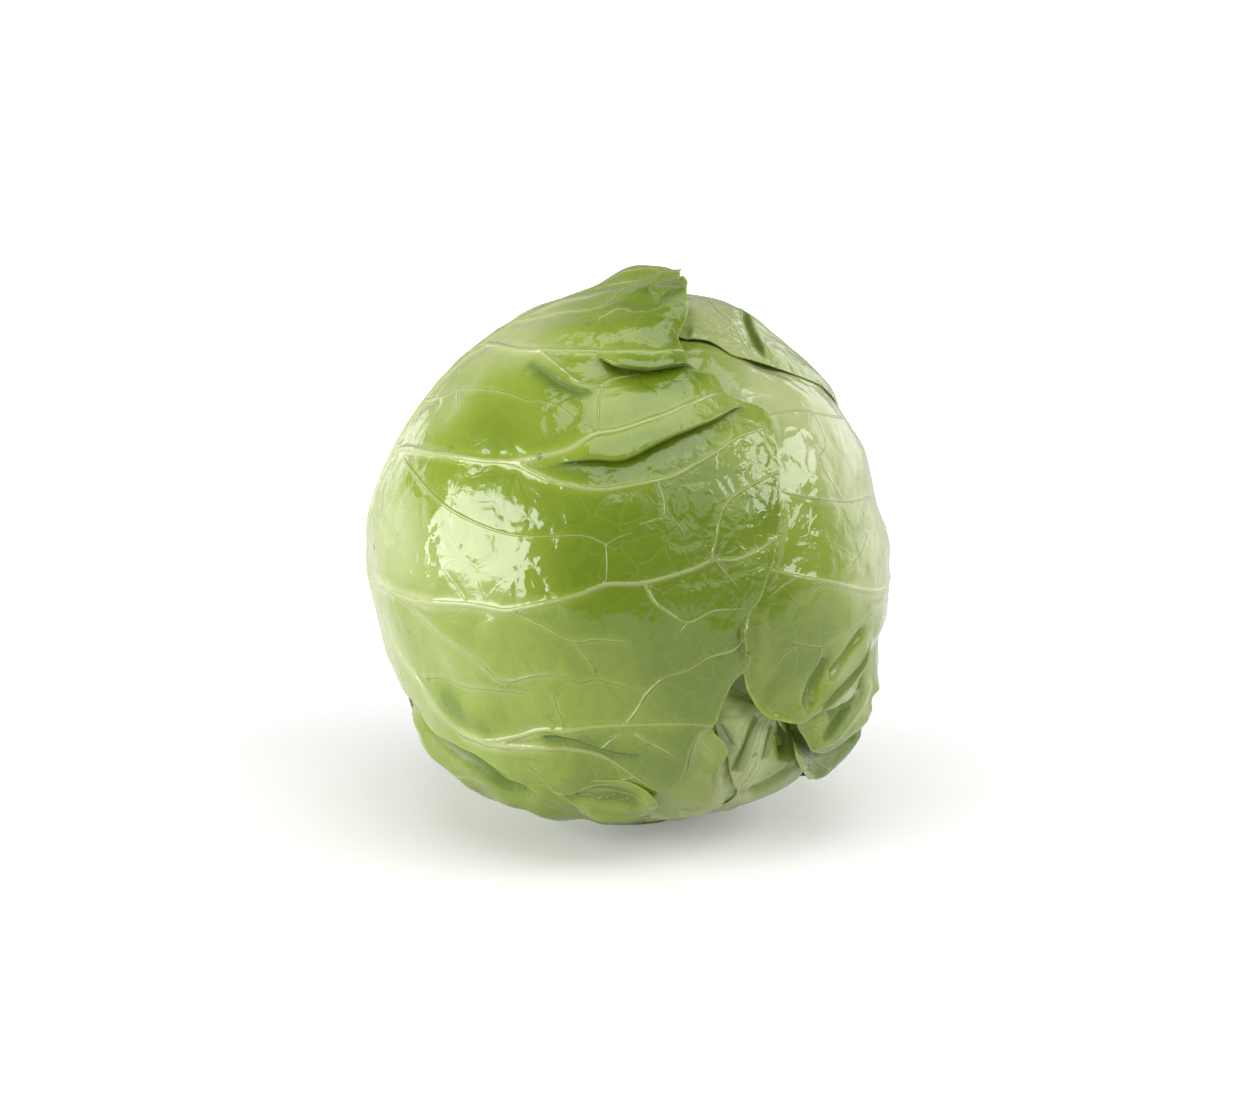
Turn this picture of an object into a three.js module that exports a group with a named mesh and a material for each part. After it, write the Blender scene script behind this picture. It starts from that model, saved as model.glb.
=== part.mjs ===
// A head of green cabbage at its real size, in millimetres: about 160 across and 170 high.
//
// The head stands on the flat cut of its stem. Ten wrapper leaves are folded tightly round a packed
// heart, each one a thin blade with raised ribs on its outer face. Every piece is described by
// directions from the middle of the head: a longitude (0 faces -Y, 90 faces +X) and a latitude.
// The outermost leaf lies on the head's own outline, and each leaf below it is set in by the
// thickness of the leaves that cover it there.
import * as THREE from "three";
import { mergeVertices } from "three/addons/utils/BufferGeometryUtils.js";

// ---------------------------------------------------------------- driving dimensions

const HEAD_MIDDLE = 81; // height of the middle of the head over the cut of the stem
const NOMINAL_RADIUS = 80; // turns an angle at the middle into a length on the surface
const BLADE = 0.9; // thickness of a leaf between its ribs
const GAP = 1.05; // air between one leaf and the next
const TUCK = 20; // width over which a leaf dips to pass under the edge of another
const TUCK_MARGIN = 4.5; // how far outside that edge it is already down
const HEART_SHRINK = 2.2; // how far the packed heart lies inside the innermost leaf
const HEART_DETAIL = 8; // subdivision of the heart's icosahedron
const FACET = 11; // spacing of the points on an open stretch of leaf
const EDGE_STEP = 7.5; // spacing of the points along a leaf's edge
const RIB_STEP = 9.5; // spacing of the points along a rib
const SIGHT_ROUNDS = 12; // rounds in which a line of sight settles on the outline

const STEM = { radius: 18, topRadius: 15.5, height: 15, chamfer: 1.2, sides: 36 };
const HEART_DENT = { depth: 12, from: -66, to: -76 }; // room for the stem under the heart

// The front view: a camera that looks down on the head, and where the head's middle is in its picture.
const VIEW = { elevation: 15, distance: 1055, middle: [630, 555], pixel: 0.3036 };

// The outline of the head in the front view, on the left (-X) and on the right (+X): its radius at
// each angle above the horizontal. The rounding of the base and the crown, out of sight, is added.
const OUTLINE_ANGLES = [-60, -45, -30, -15, 0, 15, 30, 45, 60, 75];
const OUTLINE_LEFT = [84.5, 86, 80.5, 79, 80, 80, 79.5, 79.5, 80, 81];
const OUTLINE_RIGHT = [85, 88.5, 87, 81, 80, 77.5, 79, 80.5, 80, 80];
const OUTLINE_ENDS = [
  { latitude: -90, radius: 75 },
  { latitude: -76, radius: 78 },
  { latitude: -67, radius: 82 },
  { latitude: 76, radius: 83 },
  { latitude: 90, radius: 84 },
];
const OUTLINE_BLEND = 8; // degrees over which the radii run into each other

// Rib sizes: width and height in mm at the root and at the tip.
const MIDRIB = { width: [17, 6], height: [3.2, 0.9] };
const SIDE_RIB = { width: [6, 4], height: [1.5, 0.7] };
const FINE_RIB = { width: [4, 3], height: [0.8, 0.5] };

// ---------------------------------------------------------------- directions and curves

const rad = THREE.MathUtils.degToRad;

function direction([longitude, latitude]) {
  const out = Math.cos(rad(latitude));
  const east = out * Math.sin(rad(longitude));
  return new THREE.Vector3(east, -out * Math.cos(rad(longitude)), Math.sin(rad(latitude)));
}

// Points along a smooth curve through the given longitudes and latitudes, as unit vectors.
function curve(places, step, closed = false) {
  const path = new THREE.CatmullRomCurve3(places.map(direction), closed, "centripetal");
  const count = Math.max(2, Math.round((path.getLength() * NOMINAL_RADIUS) / step));
  const points = path.getSpacedPoints(count).map((p) => p.normalize());
  if (closed) points.pop();
  return points;
}

function smoothstep(from, to, x) {
  const t = THREE.MathUtils.clamp((x - from) / (to - from), 0, 1);
  return t * t * (3 - 2 * t);
}

const latitudeOf = (d) => THREE.MathUtils.radToDeg(Math.asin(THREE.MathUtils.clamp(d.z, -1, 1)));

// The latitude that the edge of a ball shows at an angle of the front view.
function edgeLatitude(angle) {
  return THREE.MathUtils.radToDeg(Math.asin(Math.sin(rad(angle)) * Math.cos(rad(VIEW.elevation))));
}

const OUTLINE_KNOTS = [
  ...OUTLINE_ANGLES.map((angle, i) => {
    return { latitude: edgeLatitude(angle), left: OUTLINE_LEFT[i], right: OUTLINE_RIGHT[i] };
  }),
  ...OUTLINE_ENDS.map(({ latitude, radius }) => ({ latitude, left: radius, right: radius })),
];

// The radius of the whole head in a direction.
function outlineRadius(d) {
  const latitude = latitudeOf(d);
  const side = 0.5 + (0.5 * d.x) / (Math.hypot(d.x, d.y) + 0.12);
  let sum = 0;
  let weights = 0;
  for (const { latitude: knot, left, right } of OUTLINE_KNOTS) {
    const weight = Math.exp(-(((latitude - knot) / OUTLINE_BLEND) ** 2));
    sum += weight * (left * (1 - side) + right * side);
    weights += weight;
  }
  return sum / weights;
}

// The longitudes and latitudes at which points of the front view, [across, down], lie on the head.
function seen(...points) {
  const turn = rad(VIEW.elevation);
  const ahead = new THREE.Vector3(0, Math.cos(turn), -Math.sin(turn));
  const up = new THREE.Vector3(0, Math.sin(turn), Math.cos(turn));
  const eye = ahead.clone().multiplyScalar(-VIEW.distance);
  return points.map(([across, down]) => {
    const ray = new THREE.Vector3((across - VIEW.middle[0]) * VIEW.pixel, 0, 0);
    ray.addScaledVector(up, (VIEW.middle[1] - down) * VIEW.pixel).sub(eye).normalize();
    const nearest = -eye.dot(ray);
    const d = new THREE.Vector3();
    let radius = NOMINAL_RADIUS;
    for (let round = 0; round < SIGHT_ROUNDS; round++) {
      const inside = Math.max(0, nearest ** 2 - eye.lengthSq() + radius ** 2);
      d.copy(eye).addScaledVector(ray, nearest - Math.sqrt(inside)).normalize();
      radius = outlineRadius(d);
    }
    return [THREE.MathUtils.radToDeg(Math.atan2(d.x, -d.y)), latitudeOf(d)];
  });
}

// Nearest place on an open or closed line of unit vectors: its distance in mm, signed + on the left
// of the line's way as seen from outside, and how far along the line it is, from 0 to 1.
function nearest(line, d, closed = false) {
  const segments = closed ? line.length : line.length - 1;
  let best = { distance: Infinity, along: 0, side: 1 };
  const ab = new THREE.Vector3();
  const ap = new THREE.Vector3();
  for (let i = 0; i < segments; i++) {
    const a = line[i];
    ab.subVectors(line[(i + 1) % line.length], a);
    ap.subVectors(d, a);
    const t = THREE.MathUtils.clamp(ap.dot(ab) / ab.lengthSq(), 0, 1);
    const distance = ap.addScaledVector(ab, -t).length() * NOMINAL_RADIUS;
    if (distance < best.distance) {
      const side = Math.sign(ap.dot(ab.clone().cross(d).negate())) || 1;
      best = { distance, along: (i + t) / segments, side };
    }
  }
  return best;
}

// ---------------------------------------------------------------- leaves

// Flat map of directions for one leaf (stereographic, so circles stay circles), and its reverse.
function leafMap(centre) {
  const c = direction(centre);
  const east = new THREE.Vector3(-c.y, c.x, 0).normalize();
  const north = new THREE.Vector3().crossVectors(c, east);
  const flat = (d) => {
    const scale = (2 * NOMINAL_RADIUS) / (1 + d.dot(c));
    return [d.dot(east) * scale, d.dot(north) * scale];
  };
  return { flat, middle: c };
}

function insidePolygon(polygon, [x, y]) {
  let inside = false;
  for (let i = 0, j = polygon.length - 1; i < polygon.length; j = i++) {
    const [xi, yi] = polygon[i];
    const [xj, yj] = polygon[j];
    if (yi > y !== yj > y && x < ((xj - xi) * (y - yi)) / (yj - yi) + xi) inside = !inside;
  }
  return inside;
}

class Leaf {
  constructor(shape) {
    Object.assign(this, { ribs: [], folds: [], puffs: [] }, shape);
    this.map = leafMap(this.centre);
    this.edge = curve(this.outline, EDGE_STEP, true);
    this.flatEdge = this.edge.map(this.map.flat);
    this.ribLines = this.ribs.map((rib) => ({ ...rib, line: curve(rib.path, RIB_STEP) }));
    this.foldLines = this.folds.map((fold) => ({ ...fold, line: curve(fold.path, RIB_STEP) }));
    this.puffLines = this.puffs.map((puff) => ({ ...puff, line: curve(puff.path, RIB_STEP) }));
  }

  // Distance in mm to the leaf's edge: + inside the leaf, - outside it.
  edgeDistance(d) {
    const { distance } = nearest(this.edge, d, true);
    return insidePolygon(this.flatEdge, this.map.flat(d)) ? distance : -distance;
  }

  // 1 where this leaf covers what is below it, falling to 0 a little way past its edge.
  cover(d) {
    return smoothstep(-TUCK, -TUCK_MARGIN, this.edgeDistance(d));
  }

  // Height of the raised ribs in a direction.
  ribHeight(d) {
    let height = 0;
    for (const rib of this.ribLines) {
      const { distance, along } = nearest(rib.line, d);
      const width = THREE.MathUtils.lerp(rib.size.width[0], rib.size.width[1], along);
      const crest = THREE.MathUtils.lerp(rib.size.height[0], rib.size.height[1], along);
      if (distance < width / 2) height = Math.max(height, crest * Math.cos((Math.PI * distance) / width) ** 2);
    }
    return height;
  }

  // How far the blade stands off the head: bulges, folds with a lip over a groove, and lifted edges.
  lift(d) {
    let height = 0;
    for (const puff of this.puffLines) {
      const { distance } = nearest(puff.line, d);
      height += puff.height * Math.exp(-((distance / puff.width) ** 2));
    }
    for (const fold of this.foldLines) {
      const { distance, along, side } = nearest(fold.line, d);
      const fade = smoothstep(0, 0.22, Math.min(along, 1 - along));
      const across = distance * side;
      height += fade * fold.lip * Math.exp(-(((across - 3.4) / 3.4) ** 2));
      height -= fade * fold.groove * Math.exp(-(((across + 1.8) / 2.6) ** 2));
      height += fade * fold.groove * 0.6 * Math.exp(-((distance / 13) ** 2));
    }
    return 0.5 * (height + Math.sqrt(height * height + 0.05));
  }
}

// Depth of a leaf's blade below the head's outline, and how much of it is covered there.
function setIn(above, d) {
  let depth = 0;
  let bare = 1;
  for (const leaf of above) {
    const cover = leaf.cover(d);
    if (cover === 0) continue;
    depth += cover * (BLADE + GAP);
    bare *= 1 - cover;
  }
  return { depth, covered: 1 - bare };
}

// Radii of a leaf's two faces in a direction. Where other leaves press on it, it lies flat.
function leafFaces(leaf, above, d) {
  const { depth, covered } = setIn(above, d);
  const free = (1 - covered) ** 2;
  const base = outlineRadius(d) - depth + leaf.lift(d) * free;
  return { outer: base + leaf.ribHeight(d) * free, inner: base - BLADE };
}

// ---------------------------------------------------------------- meshing a leaf

// Delaunay triangles of points in the plane (Bowyer and Watson's way).
function delaunay(points) {
  const far = 1e5;
  const all = [...points, [-far, -far], [far, -far], [0, far]];
  const n = points.length;
  const circle = (a, b, c) => {
    const [ax, ay] = all[a];
    const [bx, by] = all[b];
    const [cx, cy] = all[c];
    const twice = 2 * (ax * (by - cy) + bx * (cy - ay) + cx * (ay - by));
    const a2 = ax * ax + ay * ay;
    const b2 = bx * bx + by * by;
    const c2 = cx * cx + cy * cy;
    const x = (a2 * (by - cy) + b2 * (cy - ay) + c2 * (ay - by)) / twice;
    const y = (a2 * (cx - bx) + b2 * (ax - cx) + c2 * (bx - ax)) / twice;
    return { a, b, c, x, y, r2: (ax - x) ** 2 + (ay - y) ** 2 };
  };
  let triangles = [circle(n, n + 1, n + 2)];
  for (let p = 0; p < n; p++) {
    const [px, py] = all[p];
    const rim = new Map();
    const kept = [];
    for (const t of triangles) {
      if ((px - t.x) ** 2 + (py - t.y) ** 2 >= t.r2) {
        kept.push(t);
        continue;
      }
      for (const [i, j] of [[t.a, t.b], [t.b, t.c], [t.c, t.a]]) {
        if (!rim.delete(j + "," + i)) rim.set(i + "," + j, [i, j]);
      }
    }
    for (const [i, j] of rim.values()) kept.push(circle(i, j, p));
    triangles = kept;
  }
  return triangles.filter((t) => t.a < n && t.b < n && t.c < n).map((t) => [t.a, t.b, t.c]);
}

// Evenly spread directions over the whole ball, about FACET apart.
function evenDirections(spacing) {
  const count = Math.round((4 * Math.PI * NOMINAL_RADIUS ** 2) / (spacing * spacing * 0.87));
  const golden = Math.PI * (3 - Math.sqrt(5));
  return Array.from({ length: count }, (_, i) => {
    const z = 1 - (2 * i + 1) / count;
    const out = Math.sqrt(1 - z * z);
    return new THREE.Vector3(out * Math.cos(golden * i), out * Math.sin(golden * i), z);
  });
}

// A direction moved sideways from a line by some mm, at point i of the line.
function beside(line, i, offset) {
  const way = new THREE.Vector3().subVectors(line[Math.min(i + 1, line.length - 1)], line[Math.max(i - 1, 0)]);
  const side = new THREE.Vector3().crossVectors(line[i], way).normalize();
  return line[i].clone().addScaledVector(side, offset / NOMINAL_RADIUS).normalize();
}

// The directions at which a leaf has vertices: its edge, its ribs and folds, and an even spread between.
function leafDirections(leaf) {
  const chosen = [...leaf.edge];
  const clear = (d, limit) => chosen.every((c) => c.distanceTo(d) * NOMINAL_RADIUS > limit);
  const add = (d, limit) => {
    if (leaf.edgeDistance(d) > 2.4 && clear(d, limit)) chosen.push(d);
  };
  for (const rib of leaf.ribLines) rib.line.forEach((d) => add(d, 2.6));
  for (const rib of leaf.ribLines) {
    rib.line.forEach((d, i) => {
      const half = THREE.MathUtils.lerp(rib.size.width[0], rib.size.width[1], i / (rib.line.length - 1)) / 2;
      for (const offset of [half, -half]) add(beside(rib.line, i, offset), Math.min(2.4, 0.8 * half));
    });
  }
  for (const fold of leaf.foldLines) {
    fold.line.forEach((_, i) => {
      for (const offset of [3.4, -1.8, 8.5, -6]) add(beside(fold.line, i, offset), 2.4);
    });
  }
  for (const d of evenDirections(FACET)) add(d, 0.6 * FACET);
  return chosen;
}

function leafGeometry(leaf, above) {
  const directions = leafDirections(leaf);
  const flat = directions.map(leaf.map.flat);
  const triangles = delaunay(flat).filter((t) => {
    const middle = [0, 1].map((k) => (flat[t[0]][k] + flat[t[1]][k] + flat[t[2]][k]) / 3);
    return insidePolygon(leaf.flatEdge, middle);
  });
  const positions = [];
  const centre = new THREE.Vector3(0, 0, HEAD_MIDDLE);
  const faces = directions.map((d) => leafFaces(leaf, above, d));
  for (const side of ["outer", "inner"]) {
    directions.forEach((d, i) => {
      positions.push(...centre.clone().addScaledVector(d, faces[i][side]).toArray());
    });
  }
  const n = directions.length;
  const index = [];
  const open = new Map();
  for (const [a, b, c] of triangles) {
    index.push(a, b, c, n + a, n + c, n + b);
    for (const [i, j] of [[a, b], [b, c], [c, a]]) {
      if (!open.delete(j + "," + i)) open.set(i + "," + j, [i, j]);
    }
  }
  for (const [i, j] of open.values()) index.push(j, i, n + i, j, n + i, n + j);
  const geometry = new THREE.BufferGeometry();
  geometry.setAttribute("position", new THREE.Float32BufferAttribute(positions, 3));
  geometry.setIndex(index);
  return geometry;
}

// ---------------------------------------------------------------- ribs worked out by rule

// Side ribs that leave a midrib on one side and curve towards the leaf's tip, as longitudes and latitudes.
function sideRibs(midrib, side, { starts, angle = 62, turn = 0.55, length = 75 }, outline, centre) {
  const spine = curve(midrib, 4);
  const map = leafMap(centre);
  const polygon = curve(outline, EDGE_STEP, true).map(map.flat);
  return starts.map((start) => {
    const i = Math.round(start * (spine.length - 2));
    const here = spine[i].clone();
    const way = new THREE.Vector3().subVectors(spine[i + 1], spine[i]).normalize();
    way.applyAxisAngle(here, rad(side * angle));
    const path = [];
    for (let gone = 0; gone <= length; gone += 3) {
      const ahead = here.clone().addScaledVector(way, 8 / NOMINAL_RADIUS).normalize();
      if (gone > 0 && !insidePolygon(polygon, map.flat(ahead))) break;
      path.push([THREE.MathUtils.radToDeg(Math.atan2(here.x, -here.y)), latitudeOf(here)]);
      here.addScaledVector(way, 3 / NOMINAL_RADIUS).normalize();
      way.applyAxisAngle(here, rad(-side * turn)).projectOnPlane(here).normalize();
    }
    return { path: path.filter((_, k) => k % 4 === 0 || k === path.length - 1), size: SIDE_RIB };
  }).filter((rib) => rib.path.length > 2);
}

// ---------------------------------------------------------------- the wrapper leaves, outermost first

const front = {
  name: "wrapper_leaf_front",
  centre: [-90, 5],
  outline: [
    [45, 73], [35, 70], [26, 66],
    ...seen([680, 337], [688, 350], [696, 370], [716, 371], [727, 390], [745, 398], [765, 405], [772, 420],
      [779, 455], [781, 500], [776, 540], [773, 571], [757, 605], [750, 618], [751, 662], [737, 681],
      [724, 701], [721, 713], [699, 737], [688, 759], [681, 778], [671, 790]),
    [7, -46], [0, -53], [-8, -56], [-15, -55], [-19, -46],
    ...seen([543, 792], [524, 791], [489, 766], [458, 753], [429, 735], [404, 707]),
    [-78, -34], [-87, -43], [-93, -58], [-97, -75], [-118, -75.5], [-135, -63], [-150, -43], [-160, -15],
    [-164, 15], [-160, 42], [-158, 62], [-172, 76], [150, 81], [118, 80], [83, 78],
  ],
  midrib: [
    [-106, -73], [-99, -58], [-93, -42], [-89, -25], [-88, -5], [-88, 15], [-88, 35], [-88, 55], [-90, 72],
    [-95, 84],
  ],
  ribs: [
    { path: [[-88, 52], ...seen([484, 342], [541, 317], [599, 310], [631, 296])], size: SIDE_RIB },
    { path: [[-88, 46], ...seen([465, 352], [513, 350], [570, 354], [637, 356], [687, 357])], size: SIDE_RIB },
    { path: seen([541, 353], [564, 372], [601, 386], [599, 403], [598, 436]), size: FINE_RIB },
    { path: [[-88, 38], ...seen([442, 396], [480, 389], [514, 396], [551, 403], [572, 416])], size: FINE_RIB },
    {
      path: [
        [-88, 22],
        ...seen([413, 450], [457, 457], [512, 463], [553, 482], [599, 490], [656, 482], [701, 461], [765, 428]),
      ],
      size: SIDE_RIB,
    },
    { path: seen([512, 463], [560, 454], [593, 437], [646, 424], [714, 394]), size: SIDE_RIB },
    { path: seen([405, 460], [446, 506], [503, 533], [586, 537], [606, 545], [606, 584]), size: FINE_RIB },
    {
      path: [
        [-88, -2],
        ...seen([389, 589], [439, 601], [508, 611], [577, 595], [640, 584], [713, 561], [740, 559], [776, 540]),
      ],
      size: SIDE_RIB,
    },
    { path: seen([711, 560], [716, 539], [733, 497], [779, 471]), size: FINE_RIB },
    { path: seen([645, 584], [653, 601], [688, 623], [743, 609]), size: FINE_RIB },
    { path: seen([509, 611], [573, 641], [627, 643]), size: FINE_RIB },
    { path: seen([395, 593], [441, 634], [502, 680], [555, 675], [617, 684], [645, 693]), size: FINE_RIB },
    { path: seen([746, 635], [709, 658], [665, 678], [645, 696], [626, 724]), size: SIDE_RIB },
    {
      path: [
        [-86, -12],
        ...seen([385, 620], [433, 706], [463, 734], [518, 736], [587, 726], [649, 725], [713, 728]),
      ],
      size: SIDE_RIB,
    },
    { path: seen([463, 734], [528, 746], [597, 757], [659, 793]), size: SIDE_RIB },
  ],
  backRibs: { side: 1, starts: [0.16, 0.3, 0.44, 0.58, 0.72], angle: 66, turn: 0.5, length: 80 },
  folds: [
    { path: seen([526, 363], [560, 382], [597, 394]), lip: 1.4, groove: 1.4 },
    { path: seen([603, 361], [626, 367], [668, 370], [697, 370]), lip: 3, groove: 2.6 },
    { path: seen([545, 468], [596, 458], [646, 446], [696, 424], [754, 404]), lip: 2.4, groove: 2.4 },
    { path: seen([538, 739], [574, 737], [612, 749], [646, 756]), lip: 1.4, groove: 1.6 },
  ],
  puffs: [
    { path: [[95, 80], [50, 73], [30, 66], [25, 60]], height: 4.2, width: 11 },
    { path: [[-100, 88], [60, 85]], height: 2.6, width: 16 },
    { path: [[-8, -45], [1, -46]], height: 2, width: 7 },
  ],
};

const back = {
  name: "wrapper_leaf_back",
  centre: [175, 8],
  outline: [
    ...seen([688, 333], [705, 338], [735, 353], [765, 362], [795, 373], [828, 389]),
    [99, 33], [107, 21], [113, 7], [112, -9], [118, -24], [120, -40], [130, -57],
    [150, -72], [178, -75.5], [-158, -75.5], [-135, -70], [-121, -52], [-116, -30], [-113, -5], [-112, 20],
    [-108, 45], [-95, 64], [-50, 74], [5, 73],
  ],
  midrib: [[175, -73], [176, -55], [177, -35], [176, -10], [172, 15], [168, 38], [160, 58], [140, 74]],
  sideRibs: { starts: [0.1, 0.24, 0.38, 0.52, 0.66, 0.8], angle: 62, turn: 0.6, length: 80 },
  puffs: [{ path: [[60, 56], [50, 60], [38, 65]], height: 1.4, width: 7 }],
};

const right = {
  name: "wrapper_leaf_right",
  centre: [106, 5],
  outline: [
    [60, 76], [25, 66], [10, 48], [5, 28], [6, 8], [14, -5],
    ...seen([743, 675], [751, 699], [766, 713], [801, 722]),
    ...seen([808, 735], [822, 754], [835, 752], [850, 735], [866, 722]),
    [79, -35], [88, -43], [97, -56],
    [112, -74], [134, -75.5], [150, -62], [160, -42], [166, -15], [168, 15], [164, 42], [150, 64], [110, 80],
  ],
  midrib: [[123, -73], [117, -58], [112, -40], [108, -20], [106, 0], [104, 20], [101, 42], [95, 62], [85, 74]],
  ribs: [
    { path: [[104, 26], [92, 31], ...seen([847, 421], [815, 414], [769, 411])], size: SIDE_RIB },
    { path: [[105, 8], [90, 13], ...seen([865, 498], [815, 498], [782, 490])], size: FINE_RIB },
    { path: [[108, -15], [96, -8], ...seen([865, 591], [827, 582], [774, 571])], size: SIDE_RIB },
    { path: [[110, -26], [98, -18], ...seen([875, 609], [839, 639], [794, 643])], size: FINE_RIB },
    { path: [[114, -44], [102, -30], [90, -18], ...seen([870, 639], [840, 684], [805, 718])], size: SIDE_RIB },
    { path: [[104, -34], [92, -26], [80, -24], [66, -27], [56, -32]], size: FINE_RIB },
  ],
  backRibs: { side: -1, starts: [0.16, 0.32, 0.48, 0.64, 0.8], angle: 62, turn: 0.6, length: 60 },
  folds: [
    { path: seen([805, 703], [819, 684], [828, 661]), lip: 1, groove: 1.8 },
    { path: seen([833, 671], [847, 652], [864, 631]), lip: 1, groove: 1.8 },
    { path: seen([869, 680], [853, 701], [838, 718]), lip: 1.6, groove: 1.6 },
  ],
  puffs: [{ path: seen([808, 732], [824, 750], [848, 738], [862, 718]), height: 2.2, width: 8 }],
};

const lowerLeft = {
  name: "wrapper_leaf_lower_left",
  centre: [-58, -48],
  outline: [
    [-104, -28], [-82, -12], [-55, -14], [-28, -24], [-10, -38], [0, -52], [1, -64], [-14, -75], [-50, -75.5],
    [-90, -75.5], [-116, -66], [-120, -46],
  ],
  midrib: [[-62, -74], [-64, -60], [-63, -46], [-58, -32], [-50, -20]],
  sideRibs: { starts: [0.2, 0.45, 0.7], angle: 55, turn: 0.8, length: 45 },
  puffs: [{ path: [[-84, -40], ...seen([440, 747], [478, 778], [523, 793])], height: 2, width: 8 }],
};

const lowerFront = {
  name: "wrapper_leaf_lower_front",
  centre: [-22, -8],
  outline: [
    ...seen([712, 731], [723, 745], [726, 755], [710, 775], [709, 796], [685, 812], [662, 806]),
    [0, -50], [-20, -58], [-50, -70], [-78, -75], [-94, -70], [-92, -45], [-80, -15], [-66, 12], [-44, 32],
    [-15, 42], [8, 36], [17, 14], [17, -6],
  ],
  midrib: [[-80, -72], [-66, -58], [-52, -42], [-40, -25], [-28, -6], [-18, 14], [-10, 32]],
  sideRibs: { starts: [0.18, 0.36, 0.54, 0.72], angle: 58, turn: 0.6, length: 50 },
  puffs: [{ path: [[20, -30], [18, -42], [12, -45]], height: 0.8, width: 6 }],
};

const lowerRight = {
  name: "wrapper_leaf_lower_right",
  centre: [86, -28],
  outline: [
    ...seen([799, 731], [798, 754], [802, 769], [812, 781], [822, 779]),
    [68, -48], [76, -58], [84, -72], [100, -75.5], [128, -74], [140, -55], [140, -25], [128, 4], [100, 20],
    [70, 16], [48, 0], [40, -14],
  ],
  midrib: [[106, -72], [104, -58], [100, -42], [94, -26], [86, -8], [78, 8]],
  sideRibs: { starts: [0.22, 0.44, 0.66], angle: 56, turn: 0.7, length: 45 },
  puffs: [{ path: [[44, -34], [50, -42], [62, -46], [72, -50]], height: 2.2, width: 7 }],
};

const innerRight = {
  name: "wrapper_leaf_inner_right",
  centre: [62, 2],
  outline: [
    ...seen([715, 706], [742, 711], [761, 711], [776, 718]),
    [48, -28], [64, -34], [82, -48], [96, -72], [116, -72], [124, -44], [122, -10], [112, 24], [88, 46],
    [52, 52], [20, 42], [6, 22], [4, 0], [9, -13],
  ],
  midrib: [[105, -69], [100, -48], [92, -24], [80, 0], [64, 22], [46, 40]],
  sideRibs: { starts: [0.25, 0.45, 0.65], angle: 58, turn: 0.6, length: 50 },
};

const innerLower = {
  name: "wrapper_leaf_inner_lower",
  centre: [52, -32],
  outline: [
    ...seen([723, 705], [722, 728], [728, 758], [734, 784]),
    [28, -43], [29, -53], [32, -68], [46, -75.5], [76, -75.5], [94, -60], [100, -35], [94, -8], [70, 8],
    [42, 8], [24, -4],
  ],
  midrib: [[44, -73], [37, -60], [36, -48], [42, -34], [52, -18], [60, -3]],
  ribs: [
    { path: [[36, -50], [31, -40], [27, -30], [25, -22]], size: FINE_RIB },
    { path: [[36, -46], [34, -36], [33, -26], [35, -16]], size: FINE_RIB },
    { path: [[39, -52], [52, -43], [64, -34], [76, -26]], size: FINE_RIB },
  ],
};

const innerFront = {
  name: "wrapper_leaf_inner_front",
  centre: [24, -42],
  outline: [
    [-16, -32], [-2, -14], [24, -6], [56, -12], [78, -30], [84, -52], [66, -70], [30, -75.5], [-8, -73],
    [-26, -56],
  ],
  midrib: [[22, -73], [22, -58], [23, -42], [26, -26], [30, -13]],
  sideRibs: { starts: [0.3, 0.6], angle: 52, turn: 0.8, length: 40 },
};

const OUTERMOST_FIRST = [
  front, lowerLeft, back, right, lowerFront, lowerRight, innerRight, innerLower, innerFront,
];

// Adds the midrib and the ribs worked out by rule to a leaf's own list of ribs.
function withRibs(shape) {
  const ribs = [{ path: shape.midrib, size: MIDRIB }, ...(shape.ribs ?? [])];
  if (shape.sideRibs) {
    for (const side of [1, -1]) {
      ribs.push(...sideRibs(shape.midrib, side, shape.sideRibs, shape.outline, shape.centre));
    }
  }
  if (shape.backRibs) {
    ribs.push(...sideRibs(shape.midrib, shape.backRibs.side, shape.backRibs, shape.outline, shape.centre));
  }
  return { ...shape, ribs };
}

// ---------------------------------------------------------------- heart and stem

// The packed heart: the inner leaves wrap round it in a spiral, which shows as shallow steps.
function heartGeometry(leaves) {
  const geometry = new THREE.IcosahedronGeometry(1, HEART_DETAIL);
  geometry.deleteAttribute("normal");
  geometry.deleteAttribute("uv");
  const ball = mergeVertices(geometry, 1e-4);
  const position = ball.getAttribute("position");
  const d = new THREE.Vector3();
  for (let i = 0; i < position.count; i++) {
    d.fromBufferAttribute(position, i).normalize();
    const { depth } = setIn(leaves, d);
    const turns = (5 * Math.atan2(d.x, -d.y)) / (2 * Math.PI) + latitudeOf(d) / 60;
    const step = 1.2 * (turns - Math.floor(turns)) * Math.cos(rad(latitudeOf(d)));
    const dent = HEART_DENT.depth * smoothstep(HEART_DENT.from, HEART_DENT.to, latitudeOf(d));
    const radius = outlineRadius(d) - depth - HEART_SHRINK - step - dent;
    position.setXYZ(i, d.x * radius, d.y * radius, d.z * radius + HEAD_MIDDLE);
  }
  return ball;
}

// The stump of the stem, cut flat underneath.
function stemGeometry() {
  const { radius, topRadius, height, chamfer, sides } = STEM;
  const profile = [
    [0, 0], [radius - chamfer, 0], [radius, chamfer],
    [topRadius, height - chamfer], [topRadius - chamfer, height], [0, height],
  ].map(([x, y]) => new THREE.Vector2(x, y));
  return new THREE.LatheGeometry(profile, sides).rotateX(Math.PI / 2);
}

// ---------------------------------------------------------------- the whole head

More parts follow.
